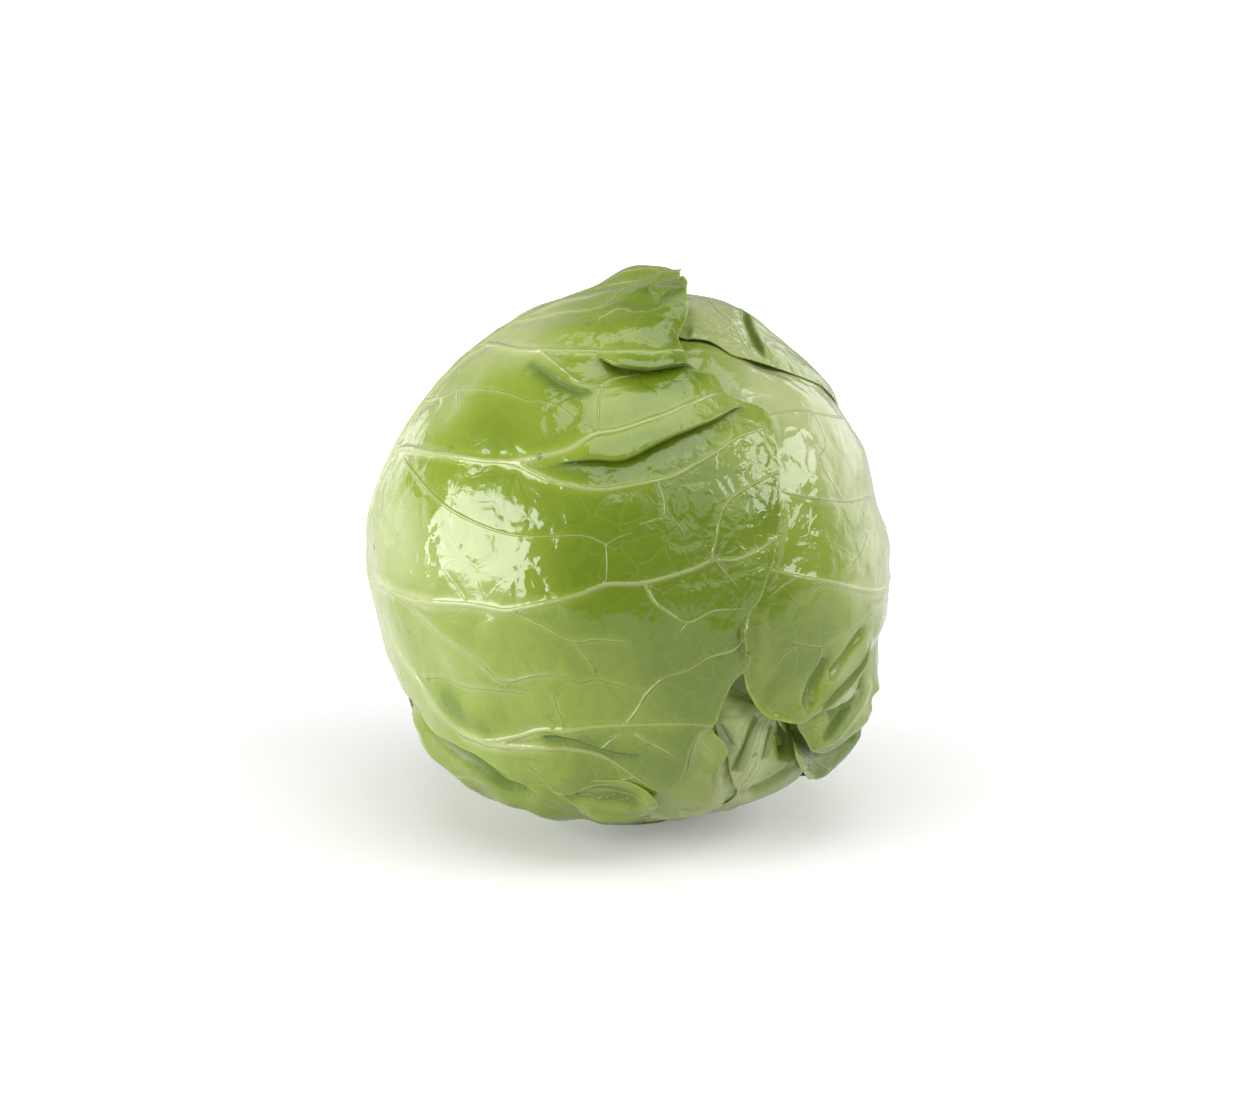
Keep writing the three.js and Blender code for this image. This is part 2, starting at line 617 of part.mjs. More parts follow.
const leafMaterial = new THREE.MeshStandardMaterial({ color: 0x9db85a, roughness: 0.42, metalness: 0 });
const innerMaterial = new THREE.MeshStandardMaterial({ color: 0xb9cc86, roughness: 0.5, metalness: 0 });
const heartMaterial = new THREE.MeshStandardMaterial({ color: 0xdde3b4, roughness: 0.55, metalness: 0 });
const stemMaterial = new THREE.MeshStandardMaterial({ color: 0xe6e2c4, roughness: 0.8, metalness: 0 });

function named(name, geometry, material) {
  const mesh = new THREE.Mesh(geometry, material);
  mesh.name = name;
  return mesh;
}

const cabbage = new THREE.Group();
const leaves = OUTERMOST_FIRST.map((shape) => new Leaf(withRibs(shape)));
leaves.forEach((leaf, i) => {
  const material = leaf.name.includes("inner") ? innerMaterial : leafMaterial;
  cabbage.add(named(leaf.name, leafGeometry(leaf, leaves.slice(0, i)), material));
});
cabbage.add(named("heart", heartGeometry(leaves), heartMaterial));
cabbage.add(named("stem_stump", stemGeometry(), stemMaterial));

// The origin is the middle of the head's footprint, on the surface that it stands on.
const footprint = new THREE.Box3().setFromObject(cabbage).getCenter(new THREE.Vector3());
cabbage.position.set(-footprint.x, -footprint.y, 0);

export default cabbage;
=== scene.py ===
"""A head of green cabbage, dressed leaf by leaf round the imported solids.

Every leaf is a thin blade over directions from the middle of the head. A direction is given by a
longitude, where 0 faces -Y and 90 faces +X, and a latitude. The outermost leaf lies on the head's
outline, and each leaf dips to pass under the edges of the leaves above it. Leaf shapes are worked
out in millimetres, and the meshes are made in metres.
"""

from __future__ import annotations

import logging
import math
from dataclasses import dataclass, field
from enum import Enum

import bpy
import numpy as np
from mathutils import Matrix, Vector
from mathutils.geometry import delaunay_2d_cdt
from mathutils.kdtree import KDTree

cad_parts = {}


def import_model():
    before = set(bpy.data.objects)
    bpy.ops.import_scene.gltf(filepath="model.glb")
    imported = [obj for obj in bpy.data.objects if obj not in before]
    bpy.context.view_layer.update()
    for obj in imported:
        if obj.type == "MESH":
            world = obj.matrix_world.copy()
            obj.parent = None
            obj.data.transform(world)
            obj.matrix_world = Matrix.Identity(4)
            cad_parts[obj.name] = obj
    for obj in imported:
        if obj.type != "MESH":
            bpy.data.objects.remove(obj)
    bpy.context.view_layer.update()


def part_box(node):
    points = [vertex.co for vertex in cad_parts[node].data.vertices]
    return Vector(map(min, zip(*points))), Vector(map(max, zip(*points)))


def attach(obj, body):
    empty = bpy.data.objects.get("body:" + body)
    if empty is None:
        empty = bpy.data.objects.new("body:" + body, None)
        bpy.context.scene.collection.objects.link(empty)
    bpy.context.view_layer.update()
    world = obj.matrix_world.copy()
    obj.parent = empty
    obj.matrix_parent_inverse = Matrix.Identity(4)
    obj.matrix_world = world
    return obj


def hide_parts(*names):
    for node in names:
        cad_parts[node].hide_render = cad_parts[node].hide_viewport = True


log = logging.getLogger("cabbage")

MM = 0.001
HEAD_RADIUS = 80.0  # turns an angle at the middle of the head into a length on its surface, in mm
HEAD_HEIGHT = 81.0  # height of the middle of the head over the stem's cut, in mm
FAR = 1e3  # stands for the distance to a line that is out of reach
NOTHING_NEAR = 60.0  # stands for the distance to a rib or an edge where none is near, in mm
CURVE_STEPS = 24  # points that a curve is first worked out at between two of its places
MOST_PRODUCTS = 8_000_000  # directions times line points that are compared at once
BLADE_REST = 0.3  # the height that a blade swells about, in mm
COARSER = 2.2  # how much further apart points are where they are hidden
ROW_GAP = 0.26  # least distance between the points of the rows beside creases and ribs, in mm
# Rows of points beside a crease, in mm: below 0 on its right, where the groove is.
FOLD_ROWS = (-5.0, -3.6, -2.5, -1.6, -0.9, -0.4, -0.15, 0.15, 0.4, 0.8, 1.3, 2.0, 2.9, 4.0)
EDGE_ROWS = (0.4, 0.9, 1.5, 2.2, 3.0, 4.0)  # rows of points inside an edge, in mm
RIB_ROWS = (-1.2, -0.8, -0.4, 0.0, 0.4, 0.8, 1.2)  # rows of points beside a rib, in halves of its width
Place = tuple[float, float]  # longitude and latitude, in degrees
Pixel = tuple[float, float]  # how far across and how far down the front view a point is
Colour = tuple[float, float, float]  # linear RGB
Array = np.ndarray
Piece = bpy.types.Object
Material = bpy.types.Material
Tree = bpy.types.NodeTree
Node = bpy.types.Node
Socket = bpy.types.NodeSocket


# ---- directions and fields


def unit(longitude: float, latitude: float) -> Array:
    """The direction at a longitude and a latitude, as a unit vector."""
    lon, lat = math.radians(longitude), math.radians(latitude)
    return np.array([math.cos(lat) * math.sin(lon), -math.cos(lat) * math.cos(lon), math.sin(lat)])


def normalised(v: Array) -> Array:
    """The vectors scaled to length 1."""
    return v / np.maximum(np.linalg.norm(v, axis=-1, keepdims=True), 1e-12)


def latitude_of(d: Array) -> Array:
    """The latitudes of directions, in degrees."""
    return np.degrees(np.arcsin(np.clip(d[..., 2], -1, 1)))


def longitude_of(d: Array) -> Array:
    """The longitudes of directions, in degrees."""
    return np.degrees(np.arctan2(d[..., 0], -d[..., 1]))


def smoothstep(low: float, high: float, x: Array) -> Array:
    """0 below low, 1 above high, and a smooth rise between them."""
    t = np.clip((x - low) / (high - low), 0, 1)
    return t * t * (3 - 2 * t)


def trail(places: list[Place], step: float, closed: bool = False) -> Array:
    """Points along a smooth curve through places.

    Args:
        places: longitudes and latitudes that the curve passes through.
        step: distance between the points, in mm.
        closed: whether the curve runs back to its start.

    Returns:
        Unit vectors, one row a point.
    """
    knots = np.array([unit(*p) for p in places])
    if closed:
        knots = np.vstack([knots[-1:], knots, knots[:2]])
    else:
        knots = np.vstack([2 * knots[0] - knots[1], knots, 2 * knots[-1] - knots[-2]])
    dense = []
    for p0, p1, p2, p3 in zip(knots, knots[1:], knots[2:], knots[3:]):
        t0, t1 = 0.0, math.sqrt(np.linalg.norm(p1 - p0) + 1e-9)
        t2 = t1 + math.sqrt(np.linalg.norm(p2 - p1) + 1e-9)
        t3 = t2 + math.sqrt(np.linalg.norm(p3 - p2) + 1e-9)
        t = np.linspace(t1, t2, CURVE_STEPS, endpoint=False)[:, None]
        a1 = (t1 - t) / (t1 - t0) * p0 + (t - t0) / (t1 - t0) * p1
        a2 = (t2 - t) / (t2 - t1) * p1 + (t - t1) / (t2 - t1) * p2
        a3 = (t3 - t) / (t3 - t2) * p2 + (t - t2) / (t3 - t2) * p3
        b1 = (t2 - t) / (t2 - t0) * a1 + (t - t0) / (t2 - t0) * a2
        b2 = (t3 - t) / (t3 - t1) * a2 + (t - t1) / (t3 - t1) * a3
        dense.append((t2 - t) / (t2 - t1) * b1 + (t - t1) / (t2 - t1) * b2)
    dense.append(knots[-2][None])
    line = normalised(np.vstack(dense))
    gone = np.concatenate([[0], np.cumsum(np.linalg.norm(np.diff(line, axis=0), axis=1))]) * HEAD_RADIUS
    count = max(2, round(gone[-1] / step))
    at = np.linspace(0, gone[-1], count + 1)
    points = normalised(np.stack([np.interp(at, gone, line[:, k]) for k in range(3)], axis=1))
    return points[:-1] if closed else points


@dataclass
class Nearest:
    """What is nearest to each of many directions on one line: lengths are in mm."""

    distance: Array
    along: Array
    side: Array
    point: Array


def nearest(d: Array, line: Array, reach: float = 400.0, closed: bool = False) -> Nearest:
    """Finds the nearest place on a line of unit vectors for each direction.

    Args:
        d: directions, one row each.
        line: the line's points.
        reach: directions further off than this, in mm, get a large distance.
        closed: whether the line's last point joins its first.

    Returns:
        Distances, places along the line from 0 to 1, sides (+1 on its left) and the nearest points.
    """
    found = Nearest(np.full(len(d), FAR), np.zeros(len(d)), np.ones(len(d)), np.zeros((len(d), 3)))
    middle, count = line.mean(0), len(line)
    extent = np.linalg.norm(line - middle, axis=1).max() + reach / HEAD_RADIUS
    rows = np.nonzero(((d - middle) ** 2).sum(1) < extent * extent)[0]
    targets, tie = line.T.astype(np.float32), 1e-10
    whole = count if closed else count - 1
    for block in np.array_split(rows, len(rows) * count // MOST_PRODUCTS + 1):
        p = d[block]
        closest = np.argmax(p.astype(np.float32) @ targets, axis=1)
        best, lean = np.full(len(block), FAR), np.zeros(len(block))
        for first in (closest - 1, closest):
            i = first % count if closed else np.clip(first, 0, count - 2)
            a = line[i]
            ab = line[(i + 1) % count] - a
            t = np.clip(((p - a) * ab).sum(1) / np.maximum((ab * ab).sum(1), 1e-14), 0, 1)
            q = a + t[:, None] * ab
            off = p - q
            distance = np.sqrt((off * off).sum(1))
            left = (off * normalised(np.cross(a, ab))).sum(1)
            closer, level = distance < best - tie, np.abs(distance - best) <= tie
            lean = np.where(closer, left, np.where(level, lean + left, lean))
            best = np.where(closer, distance, best)
            found.along[block] = np.where(closer, (i + t) / whole, found.along[block])
            found.point[block] = np.where(closer[:, None], q, found.point[block])
        found.distance[block] = best * HEAD_RADIUS
        found.side[block] = np.where(lean >= 0, 1.0, -1.0)
    return found


def beside(line: Array, offsets: tuple[float, ...], closed: bool = False) -> Array:
    """Copies of a line, moved sideways.

    Args:
        line: the line's points, unit vectors.
        offsets: how far each copy is moved to the left, in mm.
        closed: whether the line's last point joins its first.

    Returns:
        The points of all copies, one copy after another.
    """
    if closed:
        ahead = np.roll(line, -1, axis=0) - np.roll(line, 1, axis=0)
    else:
        ahead = np.gradient(line, axis=0)
    left = normalised(np.cross(line, ahead))
    return normalised(np.vstack([line + left * (offset / HEAD_RADIUS) for offset in offsets]))


def lattice(spacing: float) -> Array:
    """Directions spread evenly over the whole head.

    Args:
        spacing: about how far apart they are, in mm.

    Returns:
        Unit vectors, one row a point.
    """
    row_height = 0.866  # of a triangle with sides of 1
    count = int(4 * math.pi * HEAD_RADIUS**2 / (row_height * spacing**2))
    k = np.arange(count) + 0.5
    high, turn = 1 - 2 * k / count, k * math.pi * (3 - math.sqrt(5))
    out = np.sqrt(1 - high * high)
    return np.stack([out * np.cos(turn), out * np.sin(turn), high], axis=1)


def thinned(points: Array, gap: float) -> Array:
    """Points with their near doubles left out.

    Args:
        points: unit vectors.
        gap: about how close doubles are, in mm.

    Returns:
        The points that are kept, in their order.
    """
    cells = np.floor(points * HEAD_RADIUS / gap).astype(int)
    _, kept = np.unique(cells, axis=0, return_index=True)
    return points[np.sort(kept)]


def away_from(points: Array, others: Array, gap: float) -> Array:
    """The points that keep away from all the others.

    Args:
        points: unit vectors.
        others: unit vectors.
        gap: the least distance between a point and the others, in mm.

    Returns:
        The points that are further away than that.
    """
    tree = KDTree(len(others))
    for k, place in enumerate(others.tolist()):
        tree.insert(place, k)
    tree.balance()
    least = gap / HEAD_RADIUS
    return points[np.fromiter((tree.find(p)[2] > least for p in points.tolist()), bool, len(points))]


class Waves:
    """A smooth random field over the head: a sum of plane waves of about one wavelength."""

    def __init__(self, wavelength: float, seed: int, count: int = 26) -> None:
        """Draws the waves.

        Args:
            wavelength: in mm.
            seed: of the random draw.
            count: how many waves are added.
        """
        rng = np.random.default_rng(seed)
        ways = normalised(rng.normal(size=(count, 3)))
        self.ways = ways * (2 * math.pi / wavelength * rng.uniform(0.7, 1.3, (count, 1)))
        self.starts = rng.uniform(0, 2 * math.pi, count)
        self.scale = math.sqrt(2 / count)

    def at(self, d: Array) -> Array:
        """The field at directions: mostly from -2 to 2, with a mean of 0."""
        return np.cos(d * HEAD_RADIUS @ self.ways.T + self.starts).sum(-1) * self.scale


class FlatMap:
    """The flat map of a leaf, in mm, spread out round its middle so that shapes keep their angles."""

    def __init__(self, middle: Place) -> None:
        """Sets the middle of the map.

        Args:
            middle: longitude and latitude of the place in the middle.
        """
        self.middle = unit(*middle)
        self.east = normalised(np.array([-self.middle[1], self.middle[0], 0.0]))
        self.north = np.cross(self.middle, self.east)

    def flat(self, d: Array) -> Array:
        """The places of directions on the map, as rows of x and y."""
        scale = 2 * HEAD_RADIUS / np.maximum(1 + d @ self.middle, 0.05)
        return np.stack([d @ self.east * scale, d @ self.north * scale], axis=1)


# ---- what a leaf is drawn from


class RibSize(Enum):
    """The sizes of ribs, as (width at the root, width at the tip, height at the root, at the tip), in mm."""

    MIDRIB = (15.0, 4.0, 1.3, 0.6)
    SIDE = (3.4, 1.3, 0.48, 0.2)
    THIN = (1.5, 0.8, 0.24, 0.12)
    FINE = (0.9, 0.6, 0.12, 0.08)


THIN, FINE = RibSize.THIN, RibSize.FINE

@dataclass(frozen=True)
class Rib:
    """A raised rib along a line."""

    places: list[Place]
    size: RibSize = RibSize.SIDE


@dataclass(frozen=True)
class Fold:
    """A crease with a raised lip on its left side and a groove on its right, in mm."""

    places: list[Place]
    lip: float
    groove: float
    overhang: float = 0.0
    lip_width: float = 5.0
    groove_width: float = 4.0
    fade: float = 0.3


@dataclass(frozen=True)
class Puff:
    """A broad swelling, or a shallow dip where its height is negative, along a line, in mm."""

    places: list[Place]
    height: float
    width: float


@dataclass(frozen=True)
class Hollow:
    """A dip along a line, in mm, that the leaves under it share."""

    places: list[Place]
    depth: float
    width: float


@dataclass(frozen=True)
class Curl:
    """A stretch of a leaf's edge that rolls outwards, in mm."""

    places: list[Place]
    width: float
    radius: float


@dataclass(frozen=True)
class Shade:
    """A patch where the leaf is paler, or darker where the amount is negative: painted light and shade, and
    own tone.
    """

    place: Place
    radius: float
    amount: float


@dataclass(frozen=True)
class RibRule:
    """How the ribs that branch off a midrib are laid out on one or both sides of it.

    They start at shares of the midrib's length, a little later on its left, where side is 1. They leave it
    at an angle in degrees and turn back by so many degrees a mm. Their length is in mm.
    """

    starts: tuple[float, ...]
    sides: tuple[int, ...] = (1, -1)
    left_later: float = 0.03
    angle: float = 62.0
    turn: float = 0.55
    length: float = 80.0


@dataclass(frozen=True)
class LeafPlan:
    """Everything that shapes one leaf."""

    name: str
    node: str
    middle: Place
    outline: list[Place]
    midrib: list[Place]
    ribs: list[Rib] = field(default_factory=list)
    rule: RibRule | None = None
    folds: list[Fold] = field(default_factory=list)
    puffs: list[Puff] = field(default_factory=list)
    hollows: list[Hollow] = field(default_factory=list)
    curls: list[Curl] = field(default_factory=list)
    shades: list[Shade] = field(default_factory=list)
    tone: float = 0.3
    spacing: float = 1.3
    seed: int = 1
    inner: bool = False
    raised: float = 0.0
    lies_close: float = 1.0


@dataclass(frozen=True)
class FrontView:
    """A view that looks down on the head a little: an angle in degrees and a distance in mm.

    Its points are so many pixels across and down, the middle is where the head's middle is seen, and a
    pixel's size at the head's middle is in mm.
    """

    elevation: float = 15.0
    distance: float = 1055.0
    middle: Pixel = (630, 555)
    pixel: float = 0.3036
    rounds: int = 12

    def edge_latitude(self, angle: float) -> float:
        """The latitude that the edge of a ball shows at an angle of this view."""
        level = math.cos(math.radians(self.elevation))
        return math.degrees(math.asin(math.sin(math.radians(angle)) * level))

    def places(self, shape: "HeadShape", points: tuple[Pixel, ...], lift: float) -> list[Place]:
        """Where points of this view lie on the head.

        Args:
            shape: the outline of the head.
            points: how far across and how far down the view each point is.
            lift: how far the points stand off the head's outline, in mm.

        Returns:
            The longitude and latitude of each point.
        """
        turn = math.radians(self.elevation)
        up = np.array([0, math.sin(turn), math.cos(turn)])
        eye = -self.distance * np.array([0, math.cos(turn), -math.sin(turn)])
        found = []
        for across, down in points:
            target = np.array([across - self.middle[0], 0, 0]) + (self.middle[1] - down) * up
            ray = normalised((target * self.pixel - eye)[None])[0]
            nearest_point = -eye @ ray
            radius = HEAD_RADIUS
            for _ in range(self.rounds):
                inside = max(0.0, nearest_point**2 - eye @ eye + radius**2)
                d = normalised((eye + (nearest_point - math.sqrt(inside)) * ray)[None])
                radius = shape.radius(d)[0] + lift
            found.append((float(longitude_of(d)[0]), float(latitude_of(d)[0])))
        return found


VIEW = FrontView()


@dataclass
class HeadShape:
    """The outline of the whole head: angles in degrees and radii in mm.

    At each angle over the level in the front view it has a radius on the left and one on the right. At the
    foot and at the crown it has a latitude and a radius.
    """

    angles: tuple[float, ...] = (-60, -45, -30, -15, 0, 15, 30, 45, 60, 75)
    left: tuple[float, ...] = (84.5, 86, 80.5, 79, 80, 80, 79.5, 79.5, 80, 81)
    right: tuple[float, ...] = (85, 88.5, 87, 81, 80, 77.5, 79, 80.5, 80, 80)
    foot_and_crown: tuple[tuple[float, float], ...] = ((-90, 73), (-76, 78), (-67, 82.5), (76, 82), (90, 82))
    blend: float = 8.0
    side_blend: float = 0.12
    drawn_in: float = 1.6

    def radius(self, d: Array) -> Array:
        """The head's radius.

        Args:
            d: directions, one row each.

        Returns:
            The radius in each direction, in mm.
        """
        latitude = latitude_of(d)
        side = 0.5 + 0.5 * d[:, 0] / (np.hypot(d[:, 0], d[:, 1]) + self.side_blend)
        rows = zip(self.angles, self.left, self.right)
        knots = [(VIEW.edge_latitude(angle), left, right) for angle, left, right in rows]
        knots += [(end, radius, radius) for end, radius in self.foot_and_crown]
        total, weights = np.zeros(len(d)), np.zeros(len(d))
        for knot, left_radius, right_radius in knots:
            weight = np.exp(-(((latitude - knot) / self.blend) ** 2))
            total += weight * (left_radius * (1 - side) + right_radius * side)
            weights += weight
        return total / weights - self.drawn_in


def seen(*points: Pixel, lift: float = 0.0) -> list[Place]:
    """Where points of the front view lie on the head, or lift mm off it."""
    return VIEW.places(HeadShape(), points, lift)


def spot(point: Pixel, radius: float, amount: float, lift: float = 0.0) -> Shade:
    """A patch of shade round a point of the front view."""
    return Shade(seen(point, lift=lift)[0], radius, amount)


# ---- the leaves, outermost first

FRONT_LEAF = LeafPlan(
    name="front_leaf",
    node="wrapper_leaf_front",
    middle=(-60, 12),
    outline=[
        (52, 76),
        *seen((687, 290), lift=9),
        *seen((687, 312), lift=6),
        *seen((680, 337), (687, 350), (693, 361), lift=4),
        *seen((699, 370), (716, 371), (727, 390), (745, 398), (765, 405), lift=1),
        *seen((772, 420), (776, 440), (781, 475), (780, 524), (775, 558), (766, 587), (750, 618),
            (751, 662), (746, 670), (737, 681), (724, 701), (721, 713), (714, 728), (699, 737),
            (691, 750), (681, 778), (671, 790), (657, 797), (638, 794), (612, 787), (585, 790),
            (557, 797)),
        *seen((543, 792), (524, 790), (512, 784), (500, 775), (487, 765), (470, 757), (456, 751),
            (443, 744), (429, 735), (415, 719), (404, 705), lift=2.2),
        (-84, -31), (-95, -40), (-98, -50), (-102, -62), (-108, -75), (-120, -75), (-136, -63),
        (-150, -43), (-160, -15), (-164, 15), (-160, 42), (-160, 60), (-170, 68), (170, 73), (142, 76),
        (112, 79), (80, 80),
    ],
    midrib=[
        (-106, -73), (-99, -58), (-93, -42), (-89, -25), (-88, -5), (-88, 35), (-88, 55), (-90, 72),
        (-95, 84),
    ],
    ribs=[
        Rib([(-88, 52), (-83, 57), *seen((484, 342), (541, 317), (570, 312), (599, 310), (617, 300),
            (631, 294))]),
        Rib(seen((598, 310), (621, 302), (636, 309), (657, 312), (684, 301), lift=4), THIN),
        Rib(seen((648, 283), (652, 296), (660, 305), lift=5), FINE),
        Rib([(-88, 47), *seen((465, 352), (513, 350), (541, 353), (599, 354), (637, 356), (662, 359),
            (687, 357))]),
        Rib(seen((541, 353), (564, 372), (580, 384), (601, 386), (599, 403), (598, 436)), THIN),
        Rib(seen((601, 386), (611, 379), (639, 376)), THIN),
        Rib([(-88, 38), *seen((442, 396), (453, 391), (480, 389), (514, 396), (526, 401), (551, 403),
            (572, 416))], FINE),
        Rib(seen((457, 393), (456, 409), (447, 420)), FINE),
        Rib([(-88, 22), *seen((400, 450), (436, 454), (484, 461), (512, 463), (534, 473), (553, 482),
            (599, 490)), *seen((629, 486), (671, 477), (701, 461), (721, 449), (737, 438), (765, 428))]),
        Rib(seen((512, 463), (541, 458), (572, 449), (593, 437), (623, 430), (669, 414), (714, 394))),
        Rib(seen((405, 460), (426, 487), (446, 506), (465, 518), (503, 533), (534, 537), (586, 537),
            (606, 545)), THIN),
        Rib(seen((606, 545), (607, 562), (606, 584)), FINE),
        Rib(seen((606, 545), (616, 539), (632, 533)), FINE),
        Rib(seen((658, 483), (664, 500), (662, 519), (647, 523)), FINE),
        Rib([(-88, -2), *seen((370, 572), (389, 589), (409, 599), (468, 605), (508, 611), (518, 609),
            (577, 595)), *seen((607, 585), (640, 584), (695, 569), (713, 561), (740, 559), (776, 540))]),
        Rib(seen((711, 560), (716, 539), (722, 511), (733, 497), (754, 484), (779, 471)), THIN),
        Rib(seen((645, 584), (653, 601), (667, 612), (688, 623), (713, 612), (743, 609)), THIN),
        Rib(seen((688, 623), (676, 638)), FINE),
        Rib(seen((716, 562), (736, 586)), FINE),
        Rib(seen((509, 611), (540, 625), (573, 641), (595, 639), (627, 643)), THIN),
        Rib(seen((573, 641), (590, 664), (597, 679)), FINE),
        Rib([*seen((395, 593), (415, 611), (441, 634), (478, 660), (502, 680), (534, 676), (555, 675)),
            *seen((579, 682), (595, 679), (617, 684), (645, 693))], THIN),
        Rib(seen((746, 635), (736, 648), (709, 658), (685, 672), (665, 678), (645, 696), (637, 710),
            (626, 724)), THIN),
        Rib([(-87, 1), *seen((385, 620), (400, 655), (419, 682), (433, 706), (463, 734), (484, 738),
            (518, 736)), *seen((548, 728), (587, 726), (649, 725), (689, 725), (713, 728))]),
        Rib(seen((463, 734), (488, 740), (528, 746), (567, 750), (597, 757), (621, 768), (659, 793))),
        Rib(seen((633, 778), (618, 783), (612, 786)), THIN),
        Rib(seen((635, 734), (644, 740), (662, 749), (680, 759)), THIN),
        Rib(seen((421, 678), (445, 679), (467, 686), (492, 688), (516, 693)), FINE),
        Rib(seen((552, 697), (556, 709), (563, 722)), FINE),
        Rib(seen((531, 764), (545, 775), (556, 790)), FINE),
        Rib(seen((600, 745), (612, 738), (626, 732)), FINE),
        Rib(seen((640, 525), (660, 519), (676, 523), (684, 535)), FINE),
    ],
    rule=RibRule(starts=(0.16, 0.27, 0.38, 0.49, 0.6, 0.71, 0.82), sides=(1,), angle=60, turn=0.5,
        length=92),
    folds=[
        Fold(seen((526, 363), (541, 369), (560, 382), (576, 390), (597, 394)), lip=0.8, groove=1.1),
        Fold(seen((592, 358), (603, 361), (626, 367), (649, 370), (668, 370), (697, 371)), lip=1.8,
            groove=2.4, overhang=3.2, lip_width=6, groove_width=5.5),
        Fold(seen((545, 468), (571, 463), (596, 458), (623, 457), (646, 446), (671, 434), (696, 424),
            (754, 404)), lip=1.5, groove=2.0, overhang=2.6, lip_width=6, groove_width=6),
        Fold(seen((538, 739), (553, 735), (574, 737), (592, 743), (612, 749), (646, 756)), lip=1.2,
            groove=2.4, overhang=1.6, groove_width=3.6),
        Fold(seen((648, 283), (652, 296), (660, 305), (684, 301), lift=5), lip=0.8, groove=1.0,
            lip_width=3, groove_width=3),
    ],
    puffs=[
        Puff([(170, 73), (140, 73), (118, 76), (76, 79), (42, 74)], height=9.0, width=13),
        Puff(seen((674, 338), (680, 352), lift=5), height=2.6, width=7),
        Puff(seen((558, 338), (600, 336), (638, 341)), height=1.2, width=8),
        Puff(seen((658, 277), (668, 277), lift=7), height=-1.6, width=3.6),
        Puff(seen((636, 296), (643, 300), lift=5), height=-1.2, width=4),
        Puff(seen((668, 304), (687, 299), lift=6), height=0.7, width=1.8),
        Puff(seen((664, 313), (686, 311), lift=6), height=0.8, width=2.0),
        Puff(seen((660, 324), (682, 324), lift=5), height=0.8, width=2.2),
        Puff(seen((640, 281), (652, 290), (664, 296), lift=7), height=1.0, width=2.2),
        Puff(seen((650, 758), (676, 772)), height=1.0, width=6),
        Puff(seen((500, 755), (528, 763), (556, 773)), height=1.6, width=7),
        Puff(seen((424, 729), (444, 745), (468, 757), (491, 767), (508, 780)), height=1.3, width=5),
        Puff(seen((584, 447), (540, 446), (492, 432)), height=0.6, width=10),
    ],
    curls=[
        Curl(seen((751, 618), (751, 640), (749, 658)), width=3.5, radius=1.4),
        Curl([(76, 80), (52, 76), *seen((687, 290), (687, 312), lift=7)], width=2.4, radius=2.4),
    ],
    # Painted shade under the top crease and in the lower crease; painted reflected light at left and low
    # down.
    shades=[
        Shade((5, 15), 32, -0.35), Shade((15, -3), 24, -0.3), Shade((-20, 12), 22, -0.05),
        Shade((-72, 10), 34, 0.22), Shade((-80, -25), 30, 0.25), Shade((-60, 62), 26, 0.35),
        Shade((5, 80), 20, -0.35), Shade((-40, -16), 26, 0.02), Shade((0, -30), 24, -0.12),
        Shade((25, 50), 14, 0.1), spot((447, 702), 5, -0.4), spot((462, 716), 4, -0.35),
        spot((484, 726), 4, -0.3), spot((556, 738), 4, -0.4), spot((585, 742), 4, -0.35),
        spot((612, 748), 3, -0.25), spot((662, 281), 5, -0.4, lift=8), spot((645, 290), 4, -0.2, lift=8),
        spot((664, 322), 5, -0.3, lift=6), spot((672, 338), 5, -0.2, lift=5), spot((628, 372), 4, -0.6),
        spot((650, 376), 5, -0.6), spot((674, 377), 5, -0.6), spot((694, 374), 3.5, -0.5),
        spot((610, 400), 7, 0.15), spot((480, 425), 12, -0.15), spot((430, 625), 24, 0.12),
        spot((480, 690), 24, 0.1), spot((565, 650), 22, 0.14), spot((440, 735), 14, 0.1),
        spot((450, 695), 5, -0.2), spot((500, 715), 4, -0.15),
    ],
    tone=0.34,
    spacing=1.0,
    seed=11,
)

FRONT_LOBE = LeafPlan(
    name="front_leaf_lobe",
    node="wrapper_leaf_front",
    middle=(-5, -46),
    outline=seen((553, 797), (566, 789), (590, 786), (615, 785), (635, 789), (650, 796), (658, 807),
        (651, 817), (632, 823), (606, 825), (590, 821), (578, 813), (566, 806), lift=1.5),
    midrib=seen((562, 799), (590, 797), (618, 799), (648, 804), lift=1.5),
    ribs=[
        Rib(seen((572, 801), (598, 806), (626, 806), lift=1.5), FINE),
        Rib(seen((580, 798), (602, 793), (625, 793), lift=1.5), FINE),
    ],
    puffs=[Puff(seen((600, 818), (630, 815), (648, 806), lift=1.5), height=1.8, width=5)],
    hollows=[
        Hollow(seen((570, 799), (592, 795), (614, 797), (634, 801), lift=1), depth=1.8, width=2.4),
        Hollow(seen((598, 812), (620, 813), (640, 811), lift=1), depth=0.8, width=1.8),
    ],
    # Painted shade along the upper edge, under the front leaf's margin; paler patches on the lower bulge.
    shades=[
        spot((568, 797), 3.5, -0.5), spot((590, 792), 4, -0.5), spot((612, 794), 4, -0.45),
        spot((630, 799), 3, -0.3), spot((600, 819), 3, 0.3), spot((630, 818), 3, 0.3),
        spot((646, 808), 3, 0.2),
    ],
    tone=0.25,
    spacing=0.9,
    seed=12,
    raised=0.45,
)

